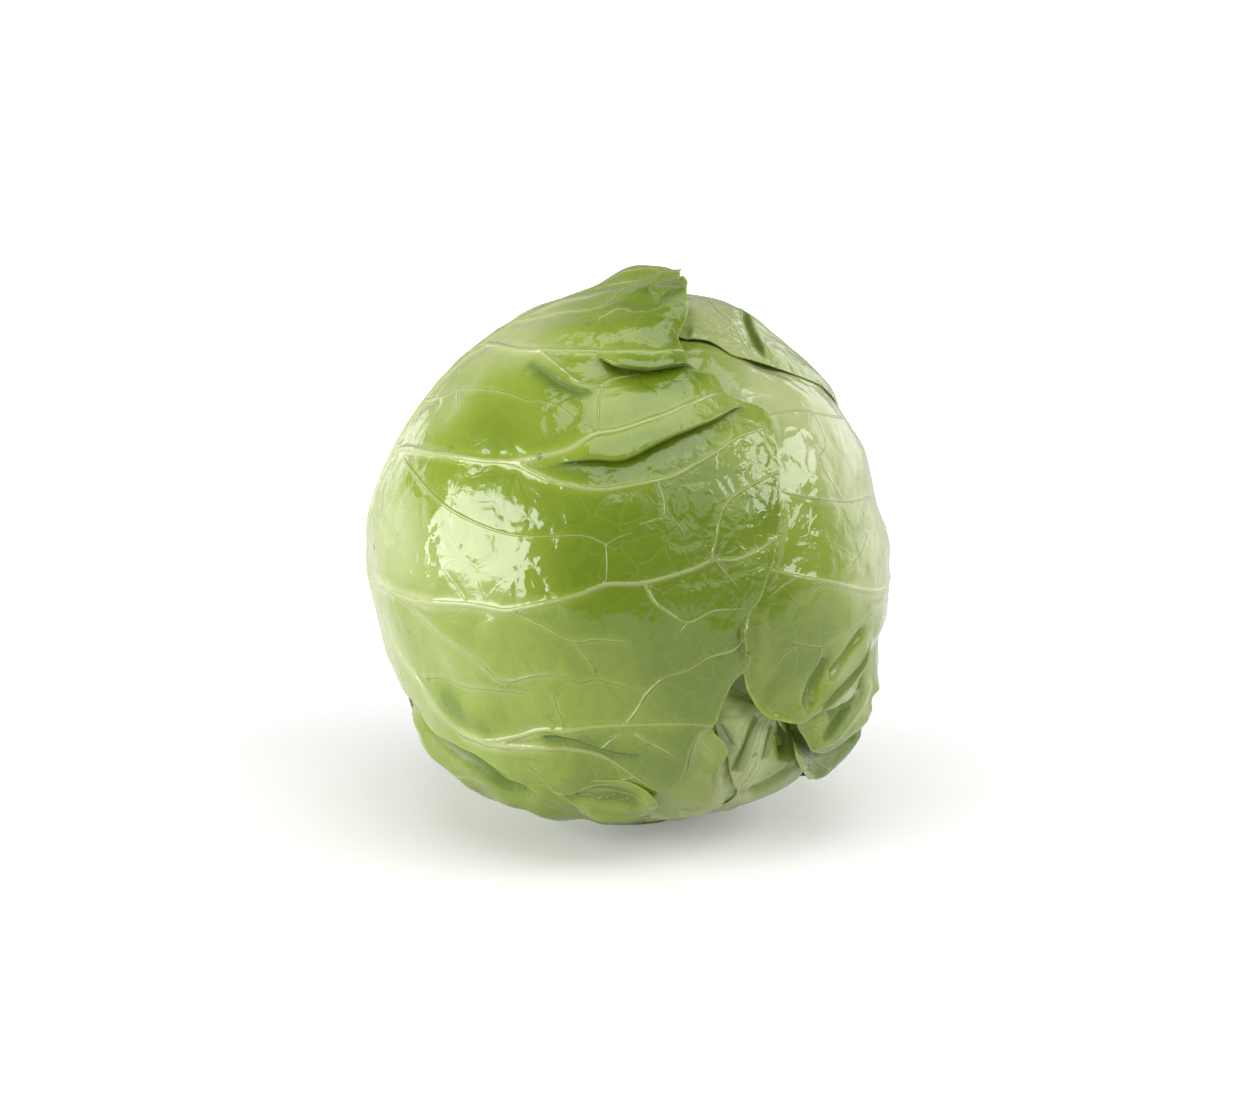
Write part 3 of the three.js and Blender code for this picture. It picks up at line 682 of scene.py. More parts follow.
LOWER_LEFT_LEAF = LeafPlan(
    name="lower_left_leaf",
    node="wrapper_leaf_lower_left",
    middle=(-58, -44),
    outline=[
        (-104, -28), (-82, -12), (-55, -14), (-28, -24), (-10, -38), (0, -52), (1, -64), (-14, -75),
        (-50, -75), (-90, -75), (-116, -66), (-120, -46),
    ],
    midrib=[(-100, -74), (-101, -60), (-100, -46), (-96, -34)],
    ribs=[
        Rib([(-94, -31), *seen((412, 738), (446, 768), (486, 793), (518, 808))], THIN),
        Rib(seen((436, 766), (462, 776), (484, 786), (500, 797)), FINE),
        Rib(seen((524, 797), (545, 806), (572, 812), (590, 822)), FINE),
    ],
    rule=RibRule(starts=(0.2, 0.4, 0.6), angle=55, turn=0.8, length=48),
    puffs=[
        Puff(seen((406, 722), (424, 748), (456, 772), (486, 790), (512, 800)), height=1.6, width=3.6),
        Puff(seen((540, 808), (575, 820), (610, 826)), height=1.2, width=5),
    ],
    hollows=[
        Hollow(seen((424, 732), (446, 750), (470, 765), (488, 777), (504, 788), (520, 793)), depth=3.2,
            width=2.6),
    ],
    # Painted shade in the gap along the front leaf's margin.
    shades=[
        spot((490, 777), 4.5, -0.6), spot((470, 765), 3.5, -0.5), spot((506, 788), 3.5, -0.5),
        spot((446, 750), 3, -0.5), spot((428, 736), 2.5, -0.5), Shade((-60, -46), 16, 0.15),
    ],
    tone=0.34,
    spacing=1.2,
    seed=13,
)

BACK_LEAF = LeafPlan(
    name="back_leaf",
    node="wrapper_leaf_back",
    middle=(166, 10),
    outline=[
        *seen((688, 333), (705, 338), (722, 345), (735, 353), (765, 362), (795, 373), (828, 389)),
        (99, 33), (107, 21), (113, 7), (112, -9), (118, -24), (120, -40), (130, -57), (150, -72),
        (178, -75), (-158, -75), (-135, -70), (-121, -52), (-116, -30), (-113, -5), (-112, 20),
        (-108, 45), (-95, 64), (-50, 74), (5, 73),
    ],
    midrib=[(175, -73), (176, -55), (177, -35), (176, -10), (172, 15), (168, 38), (160, 58), (140, 74)],
    ribs=[
        Rib([(140, 74), (115, 72), *seen((716, 312), (732, 326), (744, 344), (752, 357))], THIN),
        Rib([(150, 62), (125, 61), *seen((786, 340), (802, 355), (818, 374))], THIN),
        Rib(seen((732, 326), (720, 330), (706, 327)), FINE),
        Rib(seen((744, 344), (732, 344), (722, 341)), FINE),
    ],
    rule=RibRule(starts=(0.08, 0.19, 0.3, 0.41, 0.52, 0.63, 0.74, 0.85), angle=60, turn=0.55, length=92),
    puffs=[
        Puff(seen((688, 328), (706, 334)), height=1.0, width=5),
        Puff([(108, 64), (135, 66), (165, 62)], height=2.8, width=11),
    ],
    folds=[
        Fold(seen((738, 318), (750, 330), (760, 345), (765, 360)), lip=0.6, groove=1.6, groove_width=3),
    ],
    shades=[Shade((60, 62), 30, 0.2), Shade((150, 0), 40, -0.15), Shade((68, 60), 5, -0.35)],
    tone=0.6,
    spacing=1.3,
    seed=14,
    lies_close=0.8,
)

RIGHT_LEAF = LeafPlan(
    name="right_leaf",
    node="wrapper_leaf_right",
    middle=(92, 16),
    outline=[
        (60, 76), (25, 66), (10, 48), (5, 28), (6, 8), (12, -4), (21, -8),
        *seen((742, 668), (749, 691), (756, 707), (765, 715), (777, 719), (802, 722), (817, 712),
            (836, 706), (849, 700), (858, 688), (873, 661), (883, 639)),
        (92, -15), (101, -22), (107, -36), (110, -50), (116, -73), (134, -75), (150, -62), (160, -42),
        (166, -15), (168, 15), (164, 42), (150, 64), (110, 80),
    ],
    midrib=[
        (123, -73), (117, -58), (112, -40), (108, -20), (106, 0), (104, 20), (101, 42), (95, 62),
        (85, 74),
    ],
    ribs=[
        Rib([(104, 26), (92, 31), *seen((847, 421), (830, 417), (815, 414), (769, 411))], THIN),
        Rib([(105, 8), (90, 13), *seen((865, 498), (845, 501), (815, 498), (782, 490), (765, 478))],
            THIN),
        Rib([(108, -6), (96, -4), *seen((883, 589), (865, 591), (827, 582), (798, 577), (762, 567))]),
        Rib([(109, -18), (98, -12), *seen((875, 609), (857, 627), (839, 639), (823, 647), (794, 643))],
            THIN),
        Rib(seen((870, 639), (857, 662), (840, 684), (821, 702)), THIN),
        Rib(seen((840, 580), (852, 566), (863, 549), (868, 533)), FINE),
        Rib(seen((796, 579), (783, 587), (771, 598)), FINE),
        Rib(seen((818, 457), (826, 473), (836, 488), (843, 500)), FINE),
        Rib(seen((812, 415), (820, 430), (824, 446), (818, 457)), FINE),
        Rib(seen((823, 647), (815, 667), (808, 680), (803, 694)), FINE),
        Rib(seen((798, 648), (786, 655), (776, 667), (770, 680)), FINE),
        Rib(seen((825, 583), (812, 593), (802, 605)), FINE),
    ],
    rule=RibRule(starts=(0.14, 0.28, 0.42, 0.56, 0.7, 0.84), sides=(-1,), angle=60, turn=0.6, length=70),
    folds=[
        Fold(seen((872, 640), (863, 657), (851, 676), (835, 694), (816, 712)), lip=0.8, groove=1.2,
            groove_width=2.4),
    ],
    puffs=[
        Puff(seen((804, 713), (822, 702), (843, 683), (862, 657)), height=1.5, width=4),
        Puff(seen((760, 700), (775, 711), (793, 714)), height=0.7, width=4),
    ],
    hollows=[
        Hollow(seen((805, 703), (808, 694), (818, 677), (825, 664)), depth=1.8, width=1.8),
        Hollow(seen((833, 671), (842, 660), (852, 646), (860, 634)), depth=1.8, width=1.7),
        Hollow(seen((766, 699), (771, 688)), depth=0.8, width=2.4),
        Hollow(seen((786, 712), (776, 709)), depth=0.5, width=2.0),
    ],
    curls=[Curl(seen((744, 674), (752, 700), (766, 715), (801, 722)), width=1.8, radius=1.6)],
    # Painted light on the band under the back leaf's edge, to lift the shade there.
    shades=[
        Shade((75, 22), 34, 0.4), Shade((88, -4), 30, 0.45), Shade((60, 48), 18, 0.6),
        Shade((52, 30), 16, 0.1), Shade((35, -5), 14, -0.3), Shade((44, -13), 9, -0.3),
        Shade((56, -21), 8, 0.3), Shade((45, 8), 16, -0.1), Shade((33, 5), 10, -0.2),
    ],
    tone=0.46,
    spacing=1.05,
    seed=15,
)

LOWER_FRONT_LEAF = LeafPlan(
    name="lower_front_leaf",
    node="wrapper_leaf_lower_front",
    middle=(-24, -14),
    outline=[
        *seen((712, 731), (723, 742), (727, 752), (720, 762), (711, 775), (712, 796), (709, 806),
            (693, 813)),
        *seen((677, 812), (662, 806)),
        (2, -48), (-8, -54), (-25, -60), (-50, -70), (-78, -75), (-94, -70), (-92, -45), (-80, -15),
        (-66, 12), (-44, 32), (-15, 42), (8, 36), (17, 14), (17, -6),
    ],
    midrib=[(-80, -72), (-66, -58), (-52, -42), (-40, -25), (-28, -6), (-18, 14), (-10, 32)],
    ribs=[
        Rib(seen((704, 731), (697, 745), (692, 758), (689, 774)), THIN),
        Rib(seen((697, 745), (706, 752), (714, 762)), FINE),
        Rib(seen((689, 774), (697, 779), (706, 780)), FINE),
    ],
    rule=RibRule(starts=(0.18, 0.36, 0.54, 0.72), angle=58, turn=0.6, length=50),
    puffs=[Puff(seen((721, 742), (723, 756), (713, 770)), height=1.4, width=5)],
    shades=[spot((705, 760), 14, 0.1)],
    tone=0.46,
    spacing=1.2,
    seed=16,
)

LOWER_RIGHT_FOLD = LeafPlan(
    name="lower_right_fold",
    node="wrapper_leaf_lower_right",
    middle=(66, -20),
    outline=[
        (40, -21),
        *seen((804, 718), (806, 731), (809, 743), (814, 752), (822, 758), (833, 756), (850, 743),
            (869, 722), (878, 704), lift=3),
        (92, -24), (101, -23), (106, -14), (98, -4), (80, 4), (58, 0), (44, -10),
    ],
    midrib=seen((878, 692), (868, 708), (854, 724), (838, 738), (822, 746), lift=2),
    ribs=[
        Rib(seen((866, 697), (852, 711), (838, 722), (822, 732), lift=2), THIN),
        Rib(seen((843, 717), (851, 717), (859, 711), lift=2), FINE),
    ],
    folds=[
        Fold(seen((860, 710), (850, 720), (841, 729), (832, 736), (821, 741), lift=2), lip=0.7,
            groove=1.2, groove_width=2.0),
    ],
    hollows=[
        Hollow(seen((837, 718), (846, 710), (854, 702), (862, 691), (868, 679), lift=1), depth=2.0,
            width=1.5),
    ],
    puffs=[
        Puff(seen((818, 746), (834, 745), (852, 733), (868, 716), (880, 698), lift=2), height=3.0,
            width=5),
    ],
    # Painted shade in its hollows, and paler patches near its lower edge.
    shades=[
        spot((846, 710), 4, -0.5), spot((862, 693), 5, -0.6), spot((830, 738), 4, -0.35),
        spot((848, 722), 4, -0.3), spot((842, 744), 4, 0.2), spot((826, 752), 3, 0.1),
        spot((815, 730), 4, 0.12),
    ],
    tone=0.1,
    spacing=0.95,
    seed=21,
)

LOWER_RIGHT_LEAF = LeafPlan(
    name="lower_right_leaf",
    node="wrapper_leaf_lower_right",
    middle=(88, -30),
    outline=[
        (39, -23),
        *seen((803, 726), (800, 738), (799, 752), (800, 763), (805, 771), (813, 774), (823, 772),
            (832, 766)),
        (70, -47), (76, -57), (84, -72), (100, -75), (128, -74), (140, -55), (140, -25), (128, 4),
        (100, 16), (70, 10), (50, -4), (41, -14),
    ],
    midrib=[(106, -72), (104, -58), (100, -42), (94, -26), (86, -10), (78, 6)],
    ribs=[Rib(seen((846, 757), (830, 764), (816, 764), (806, 756), lift=1), FINE)],
    rule=RibRule(starts=(0.2, 0.36, 0.52, 0.68), sides=(1,), angle=56, turn=0.7, length=48),
    puffs=[
        Puff(seen((804, 736), (805, 762)), height=1.6, width=4),
        Puff(seen((868, 730), (854, 749), (838, 762), (822, 768)), height=3.8, width=6),
    ],
    hollows=[
        Hollow(seen((806, 735), (812, 750), (822, 757), (838, 754), (855, 741), (870, 724), lift=3),
            depth=3.0, width=2.2),
    ],
    curls=[Curl(seen((801, 734), (799, 752), (801, 764), (813, 774)), width=2.4, radius=1.5)],
    # Painted shade under the edge of the fold above it.
    shades=[
        spot((812, 750), 3, -0.4), spot((838, 752), 4, -0.5), spot((852, 740), 4, -0.5),
        spot((848, 756), 4, 0.1),
    ],
    tone=0.1,
    spacing=1.1,
    seed=17,
)

INNER_RIGHT_LEAF = LeafPlan(
    name="inner_right_leaf",
    node="wrapper_leaf_inner_right",
    middle=(70, 0),
    outline=[
        *seen((716, 706), (724, 711), (746, 710), (765, 714), (776, 719)),
        (40, -29), (55, -36), (75, -46), (90, -72), (115, -72), (125, -45), (122, -10), (110, 25),
        (85, 45), (50, 50), (20, 40), (5, 20), (4, 0), (9, -14),
    ],
    midrib=[(105, -69), (100, -48), (92, -24), (80, 0), (64, 22), (46, 40)],
    ribs=[Rib(seen((762, 709), (750, 704), (738, 697)), FINE)],
    rule=RibRule(starts=(0.25, 0.45, 0.65), angle=58, turn=0.6, length=50),
    hollows=[Hollow(seen((736, 687), (743, 697), (752, 706)), depth=1.8, width=3.4)],
    # Painted shade in the gap between the front and the right leaves' edges.
    shades=[spot((740, 694), 7, -0.6), spot((752, 705), 4, -0.4)],
    tone=0.3,
    spacing=1.3,
    seed=18,
    inner=True,
)

INNER_LOWER_LEAF = LeafPlan(
    name="inner_lower_leaf",
    node="wrapper_leaf_inner_lower",
    middle=(50, -30),
    outline=[
        *seen((723, 698), (722, 712), (720, 736), (728, 757), (731, 770), (734, 787), (738, 797)),
        (32, -58), (38, -70), (50, -75), (75, -75), (95, -60), (100, -35), (94, -8), (70, 8), (42, 8),
        (24, -4),
    ],
    midrib=[(48, -73), (44, -60), *seen((752, 785), (764, 766), (776, 746), (786, 726)), (58, -5)],
    ribs=[
        Rib(seen((738, 797), (742, 785), (748, 768), (757, 752), (768, 735), (780, 722)), THIN),
        Rib(seen((735, 786), (741, 766), (749, 748), (760, 732), (771, 721)), THIN),
        Rib(seen((742, 752), (733, 744), (727, 733)), FINE),
        Rib(seen((744, 790), (760, 775), (774, 758), (786, 738)), THIN),
    ],
    folds=[
        Fold(seen((733, 778), (738, 762), (745, 748), (753, 735), (764, 721)), lip=0.6, groove=1.0,
            groove_width=2),
        Fold(seen((764, 764), (768, 753), (773, 742), (778, 732)), lip=0.5, groove=1.3, groove_width=2),
        Fold(seen((794, 733), (788, 740), (782, 747)), lip=0.6, groove=1.2, groove_width=2),
    ],
    puffs=[
        Puff(seen((731, 727), (730, 746)), height=1.2, width=4),
        Puff(seen((756, 742), (749, 764)), height=0.9, width=4),
    ],
    hollows=[
        Hollow(seen((797, 724), (794, 742), (792, 757)), depth=5.0, width=2.2),
        Hollow(seen((752, 793), (772, 786), (792, 777)), depth=1.4, width=2.4),
    ],
    # Painted shade in the gaps beside the leaves over it and at its foot.
    shades=[spot((766, 790), 10, -0.35), spot((795, 742), 6, -0.9), spot((786, 722), 5, -0.3)],
    tone=0.52,
    spacing=0.9,
    seed=19,
    inner=True,
)

INNER_FRONT_LEAF = LeafPlan(
    name="inner_front_leaf",
    node="wrapper_leaf_inner_front",
    middle=(24, -42),
    outline=[
        (-16, -32), (-2, -14), (24, -6), (56, -12), (78, -30), (84, -52), (66, -70), (30, -75), (-8, -73),
        (-26, -56),
    ],
    midrib=[(22, -73), (22, -58), (23, -42), (26, -26), (30, -13)],
    rule=RibRule(starts=(0.2, 0.4, 0.6), angle=52, turn=0.8, length=44),
    puffs=[Puff([(10, -54), (24, -50), (40, -50)], height=1.4, width=8)],
    shades=[spot((720, 772), 8, -0.4)],
    tone=0.2,
    spacing=1.4,
    seed=20,
    inner=True,
)

LEAVES_OUTERMOST_FIRST = [
    FRONT_LEAF, LOWER_LEFT_LEAF, BACK_LEAF, RIGHT_LEAF, LOWER_FRONT_LEAF, LOWER_RIGHT_FOLD, LOWER_RIGHT_LEAF,
    INNER_RIGHT_LEAF, INNER_LOWER_LEAF, INNER_FRONT_LEAF,
]


# ---- layers of leaves


@dataclass
class Relief:
    """How a blade swells and creases: its height in mm, its slide as directions, and two masks."""

    height: Array
    slide: Array
    # pale: painted shade, darker in the grooves of creases and a little paler on their lips
    pale: Array
    # crease: where creases and hollows are painted dark, as shade
    crease: Array


@dataclass
class Layering:
    """How leaves lie on one another, in mm."""

    blade: float = 0.62
    gap: float = 0.42
    tuck: float = 19.0
    tuck_margin: float = 2.4
    edge_press: float = 0.55
    edge_width: float = 7.0
    relief_start: float = 3.6
    crease_spread: float = 4.0
    edge_wave: float = 9.0
    edge_wander: float = 0.22


class Layer:
    """One leaf's outline, as the leaf itself and the leaves under it feel it."""

    def __init__(self, plan: LeafPlan, layering: Layering) -> None:
        """Draws the outline, with a small wander of its own.

        Args:
            plan: the leaf's plan.
            layering: how leaves lie on one another.
        """
        self.plan = plan
        self.layering = layering
        edge = trail(plan.outline, 1.0, closed=True)
        left = beside(edge, (1.0,), closed=True) - edge
        wander_left = layering.edge_wander * Waves(layering.edge_wave, plan.seed + 70).at(edge)
        self.edge = normalised(edge + left * wander_left[:, None])
        self.rough_edge = self.edge[::3]
        self.map = FlatMap(plan.middle)
        x, y = self.map.flat(self.edge).T
        self.turn = 1.0 if (x * np.roll(y, -1) - np.roll(x, -1) * y).sum() > 0 else -1.0

    def edge_distance(self, d: Array, reach: float = 400.0) -> Array:
        """How far directions are inside the leaf's edge, in mm, and a large distance past the reach."""
        at = nearest(d, self.rough_edge, reach, closed=True)
        return at.distance * at.side * self.turn

    def cover(self, edge_distance: Array) -> Array:
        """How much the leaf pushes in what is below it.

        Args:
            edge_distance: distances to its edge in mm, positive inside it.

        Returns:
            1 where it pushes in fully, falling to 0 a little way past its edge.
        """
        reach = self.layering.tuck * self.plan.lies_close
        margin = self.layering.tuck_margin * self.plan.lies_close
        return smoothstep(-reach, -margin, edge_distance)

    def pressed(self, d: Array) -> Array:
        """How deep the leaf's hollows reach into it.

        Args:
            d: directions, one row each.

        Returns:
            Depths in mm.
        """
        depth = np.zeros(len(d))
        for hollow in self.plan.hollows:
            at = nearest(d, trail(hollow.places, 2.0), reach=3 * hollow.width)
            depth += hollow.depth * np.exp(-((at.distance / hollow.width) ** 2))
        return depth

    def creased(self, d: Array) -> Array:
        """How deep the leaf's creases push what is under it.

        Args:
            d: directions, one row each.

        Returns:
            Depths in mm.
        """
        depth = np.zeros(len(d))
        for fold in self.plan.folds:
            wide = fold.groove_width + self.layering.crease_spread
            at = nearest(d, trail(fold.places, 2.0), reach=3 * wide)
            depth += fold.groove * np.exp(-((at.distance / wide) ** 2))
        return depth


def set_in(above: list[Layer], d: Array, layering: Layering) -> tuple[Array, Array]:
    """How directions lie under the leaves above them.

    Args:
        above: the leaves above.
        d: directions, one row each.
        layering: how leaves lie on one another.

    Returns:
        How deep each direction lies, in mm, and how much of it is covered, from 0 to 1.
    """
    depth, bare = np.zeros(len(d)), np.ones(len(d))
    for layer in above:
        edge_distance = layer.edge_distance(d)
        cover = layer.cover(edge_distance)
        depth += cover * (layering.blade + layering.gap + layer.creased(d)) + layer.pressed(d) * cover
        bare *= 1 - smoothstep(-layering.relief_start, -0.4, edge_distance)
    return depth, 1 - bare


def side_ribs(plan: LeafPlan, layer: Layer, rng: np.random.Generator) -> list[Array]:
    """Lines that leave a leaf's midrib by its rule and curve towards its tip.

    Args:
        plan: the leaf's plan.
        layer: the leaf's outline, which the lines don't cross.
        rng: draws the small wander of each line.

    Returns:
        Lines of unit vectors, from root to tip.
    """
    if plan.rule is None:
        return []
    spine, fewest_points = trail(plan.midrib, 2.0), 5
    last, rule, lines = len(spine) - 1, plan.rule, []
    for side in rule.sides:
        later = rule.left_later if side > 0 else 0.0
        for start in rule.starts:
            i = min(last - 1, int((start + later) * last))
            ahead = normalised(spine[i + 1] - spine[i])
            way = turned(ahead, spine[i], math.radians(side * rule.angle))
            lines.append(wander(spine[i], way, -side * rule.turn, rule.length, layer, rng))
    return [line for line in lines if len(line) >= fewest_points]


def wander(
    start: Array, way: Array, turn: float, length: float, layer: Layer, rng: np.random.Generator
) -> Array:
    """A line that walks over the head and stops at the leaf's edge.

    Args:
        start: the first point, a unit vector.
        way: the way there.
        turn: steady turn to the left, in degrees a mm.
        length: the longest way, in mm.
        layer: the leaf's outline.
        rng: draws the unrest.

    Returns:
        The line's points, unit vectors.
    """
    step, unrest, kept_drift, keep_off = 2.0, 2.2, 0.75, 2.0
    here, points, drift = start, [start], 0.0
    for _ in range(int(length / step)):
        drift = kept_drift * drift + rng.normal() * unrest
        way = turned(way, here, math.radians(turn * step + drift))
        here = normalised(here + way * (step / HEAD_RADIUS))
        way = normalised(way - here * (way @ here))
        if layer.edge_distance(here[None])[0] < keep_off:
            break
        points.append(here)
    return np.array(points)


def turned(v: Array, axis: Array, angle: float) -> Array:
    """The vector v, turned about an axis, which is a unit vector, by an angle in radians."""
    c = math.cos(angle)
    return v * c + np.cross(axis, v) * math.sin(angle) + axis * (axis @ v) * (1 - c)


# ---- finishes


@dataclass(frozen=True)
class LeafFinish:
    """The look of a leaf: the cells of its net of veins in mm, and the heights of its bumps in metres."""

    name: str
    deep: Colour = (0.13, 0.2, 0.008)
    fresh: Colour = (0.22, 0.3, 0.026)
    pale: Colour = (0.42, 0.475, 0.21)
    vein: Colour = (0.30, 0.37, 0.09)
    rib: Colour = (0.40, 0.44, 0.17)
    # rim: a paler line along the edges, the thin edge's own colour and painted light on it
    rim: Colour = (0.30, 0.38, 0.08)
    # hollow: painted shade, the dark colour that creases and hollows are mixed towards
    hollow: Colour = (0.08, 0.14, 0.002)
    roughness: float = 0.07
    coat: float = 0.3
    coat_roughness: float = 0.3
    net_cell: float = 10.5
    fine_cell: float = 3.6
    vein_bump: float = 0.00022
    skin_bump: float = 0.00017
    flesh: float = 0.1


class Shader:
    """Builds nodes in one tree, with short calls."""

    def __init__(self, tree: Tree) -> None:
        """Starts building in a node tree."""
        self.tree = tree
        self.column = 0

    def node(self, kind: str, **settings: object) -> Node:
        """Adds a node.

        Args:
            kind: the node's type.
            **settings: properties of the node, by name.

        Returns:
            The node.
        """
        made = self.tree.nodes.new(kind)
        made.location = (self.column * 180, -40 * (len(self.tree.nodes) % 9))
        self.column += 1
        for name, value in settings.items():
            setattr(made, name, value)
        return made

    def put(self, socket: Socket, value: object) -> None:
        """Links an input to an output, or sets its value.

        Args:
            socket: the input.
            value: an output, or the input's value; a colour may leave its alpha out.
        """
        if isinstance(value, Socket):
            self.tree.links.new(value, socket)
        elif socket.type == "RGBA" and len(value) == 3:
            socket.default_value = (*value, 1.0)
        else:
            socket.default_value = value

    def fill(self, node: Node, values: dict[str, object]) -> None:
        """Links or sets a node's inputs, by their names."""
        for name, value in values.items():
            self.put(node.inputs[name], value)

    def math(self, operation: str, a: object, b: object = 0.0, c: object = 0.0) -> Socket:
        """Adds a Math node.

        Args:
            operation: what it works out.
            a: its first value, a number or an output.
            b: its second value.
            c: its third value.

        Returns:
            Its result.
        """
        made = self.node("ShaderNodeMath", operation=operation)
        for socket, value in zip(made.inputs, (a, b, c)):
            self.put(socket, value)
        return made.outputs[0]

    def ramp(
        self, value: object, low: object, high: object, to_low: float = 0.0, to_high: float = 1.0
    ) -> Socket:
        """A smooth step of a value.

        Args:
            value: the value, a number or an output.
            low: where the step starts.
            high: where the step ends.
            to_low: the result at its start and before it.
            to_high: the result at its end and past it.

        Returns:
            The result.
        """
        made = self.node("ShaderNodeMapRange", interpolation_type="SMOOTHSTEP", clamp=True)
        for socket, item in zip(made.inputs, (value, low, high, to_low, to_high)):
            self.put(socket, item)
        return made.outputs[0]

    def mix(self, factor: object, a: object, b: object) -> Socket:
        """A colour mixed from two.

        Args:
            factor: how much of the second colour there is, from 0 to 1.
            a: the first colour, or an output.
            b: the second colour, or an output.

        Returns:
            The mixed colour.
        """
        made = self.node("ShaderNodeMix", data_type="RGBA", clamp_factor=True)
        self.put(made.inputs["Factor"], factor)
        first, second, mixed = made.inputs[6], made.inputs[7], made.outputs[2]
        self.put(first, a)
        self.put(second, b)
        return mixed

    def attribute(self, name: str) -> Socket:
        """The value of a mesh's own attribute."""
        return self.node("ShaderNodeAttribute", attribute_name=name).outputs["Fac"]

    def noise(self, vector: object, scale: float, detail: float = 3.0, roughness: float = 0.5) -> Socket:
        """Adds a noise texture.

        Args:
            vector: the places that it is worked out at.
            scale: how fine it is.
            detail: how many finer layers it has.
            roughness: how strong those are.

        Returns:
            Its value, from 0 to 1.
        """
        made = self.node("ShaderNodeTexNoise")
        self.fill(made, {"Vector": vector, "Scale": scale, "Detail": detail, "Roughness": roughness})
        return made.outputs["Fac"]


def new_material(name: str) -> tuple[Material, Shader, Node]:
    """Makes a material.

    Args:
        name: the material's name.

    Returns:
        The material, a builder for its nodes, and its own shader.
    """
    material = bpy.data.materials.new(name)
    material.use_nodes = True
    return material, Shader(material.node_tree), material.node_tree.nodes["Principled BSDF"]


def new_group(
    name: str, inputs: dict[str, str], outputs: dict[str, str]
) -> tuple[Tree, Shader, dict, dict]:
    """Makes an empty shader group.

    Args:
        name: the group's name.
        inputs: socket names and types that go in.
        outputs: socket names and types that come out.

    Returns:
        The group, a builder for it, its input sockets and its output sockets, by name.
    """
    group = bpy.data.node_groups.new(name, "ShaderNodeTree")
    for socket, kind in inputs.items():
        group.interface.new_socket(socket, in_out="INPUT", socket_type=kind)
    for socket, kind in outputs.items():
        group.interface.new_socket(socket, in_out="OUTPUT", socket_type=kind)
    shader = Shader(group)
    ins = shader.node("NodeGroupInput").outputs
    outs = shader.node("NodeGroupOutput").inputs
    return group, shader, {s: ins[s] for s in inputs}, {s: outs[s] for s in outputs}


def vein_group() -> Tree:
    """Makes the shader group that draws ribs and the net of fine veins.

    Returns:
        The group. It takes the sizes of the net's cells in mm, and puts out masks of the ribs, the net and
        the paler blade beside the ribs, and a height.
    """
    group, sh, ins, outs = new_group(
        "leaf_veins",
        {"Net Cell": "NodeSocketFloat", "Fine Cell": "NodeSocketFloat"},
        {n: "NodeSocketFloat" for n in ("Rib", "Net", "Halo", "Height")},
    )
    place = sh.node("ShaderNodeTexCoord").outputs["Object"]
    leaf_place = sh.node("ShaderNodeAttribute", attribute_name="leaf_place").outputs["Vector"]
    wobble = sh.node("ShaderNodeTexNoise")
    sh.fill(wobble, {"Vector": leaf_place, "Scale": 0.08, "Detail": 1.0})
    shift = sh.node("ShaderNodeVectorMath", operation="SCALE")
    sh.put(shift.inputs[0], wobble.outputs["Color"])
    sh.put(shift.inputs["Scale"], 6.0)
    bent = sh.node("ShaderNodeVectorMath", operation="ADD")
    sh.put(bent.inputs[0], leaf_place)
    sh.put(bent.inputs[1], shift.outputs[0])

    def border(cell: Socket) -> Socket:
        """Adds a net of cells.

        Args:
            cell: the size of its cells, in mm.

        Returns:
            The distance to the nearest border between cells, in mm.
        """
        made = sh.node("ShaderNodeTexVoronoi", feature="DISTANCE_TO_EDGE", voronoi_dimensions="2D")
        sh.put(made.inputs["Vector"], bent.outputs[0])
        sh.put(made.inputs["Scale"], sh.math("DIVIDE", 1.0, cell))
        return sh.math("MULTIPLY", made.outputs["Distance"], cell)

    rib_gap, rib_width = sh.attribute("rib_gap"), sh.attribute("rib_width")
    rib_off = sh.math("ABSOLUTE", sh.attribute("rib_side"))
    near_rib = sh.ramp(rib_gap, 4.5, 3.2)
    rib = sh.ramp(rib_off, sh.math("MULTIPLY", rib_width, 0.55), sh.math("MULTIPLY", rib_width, 0.12))
    rib = sh.math("MULTIPLY", rib, near_rib)
    net_gap, fine_gap = border(ins["Net Cell"]), border(ins["Fine Cell"])
    patchy = sh.ramp(sh.noise(place, 30.0, 2.0), 0.38, 0.62)
    net_line = sh.math("MULTIPLY", sh.ramp(net_gap, 0.62, 0.0), sh.math("MULTIPLY_ADD", patchy, 0.6, 0.08))
    fine_line = sh.math("MULTIPLY", sh.ramp(fine_gap, 0.4, 0.0), sh.math("MULTIPLY_ADD", patchy, 0.2, 0.06))
    net = sh.math("MAXIMUM", net_line, fine_line)
    wide = sh.math("MULTIPLY_ADD", rib_width, 1.1, 1.6)
    halo = sh.math("MULTIPLY", sh.ramp(rib_gap, wide, 0.3), sh.ramp(rib_width, 0.5, 3.5, 0.25, 1.0))
    quilt = sh.math("ADD", sh.ramp(net_gap, 0.0, 3.2, 0.0, 0.7), sh.ramp(fine_gap, 0.0, 1.2, 0.0, 0.16))
    height = sh.math("ADD", sh.math("MULTIPLY_ADD", net, 0.3, rib), quilt)
    for name, value in (("Rib", rib), ("Net", net), ("Halo", halo), ("Height", height)):
        sh.put(outs[name], value)
    return group


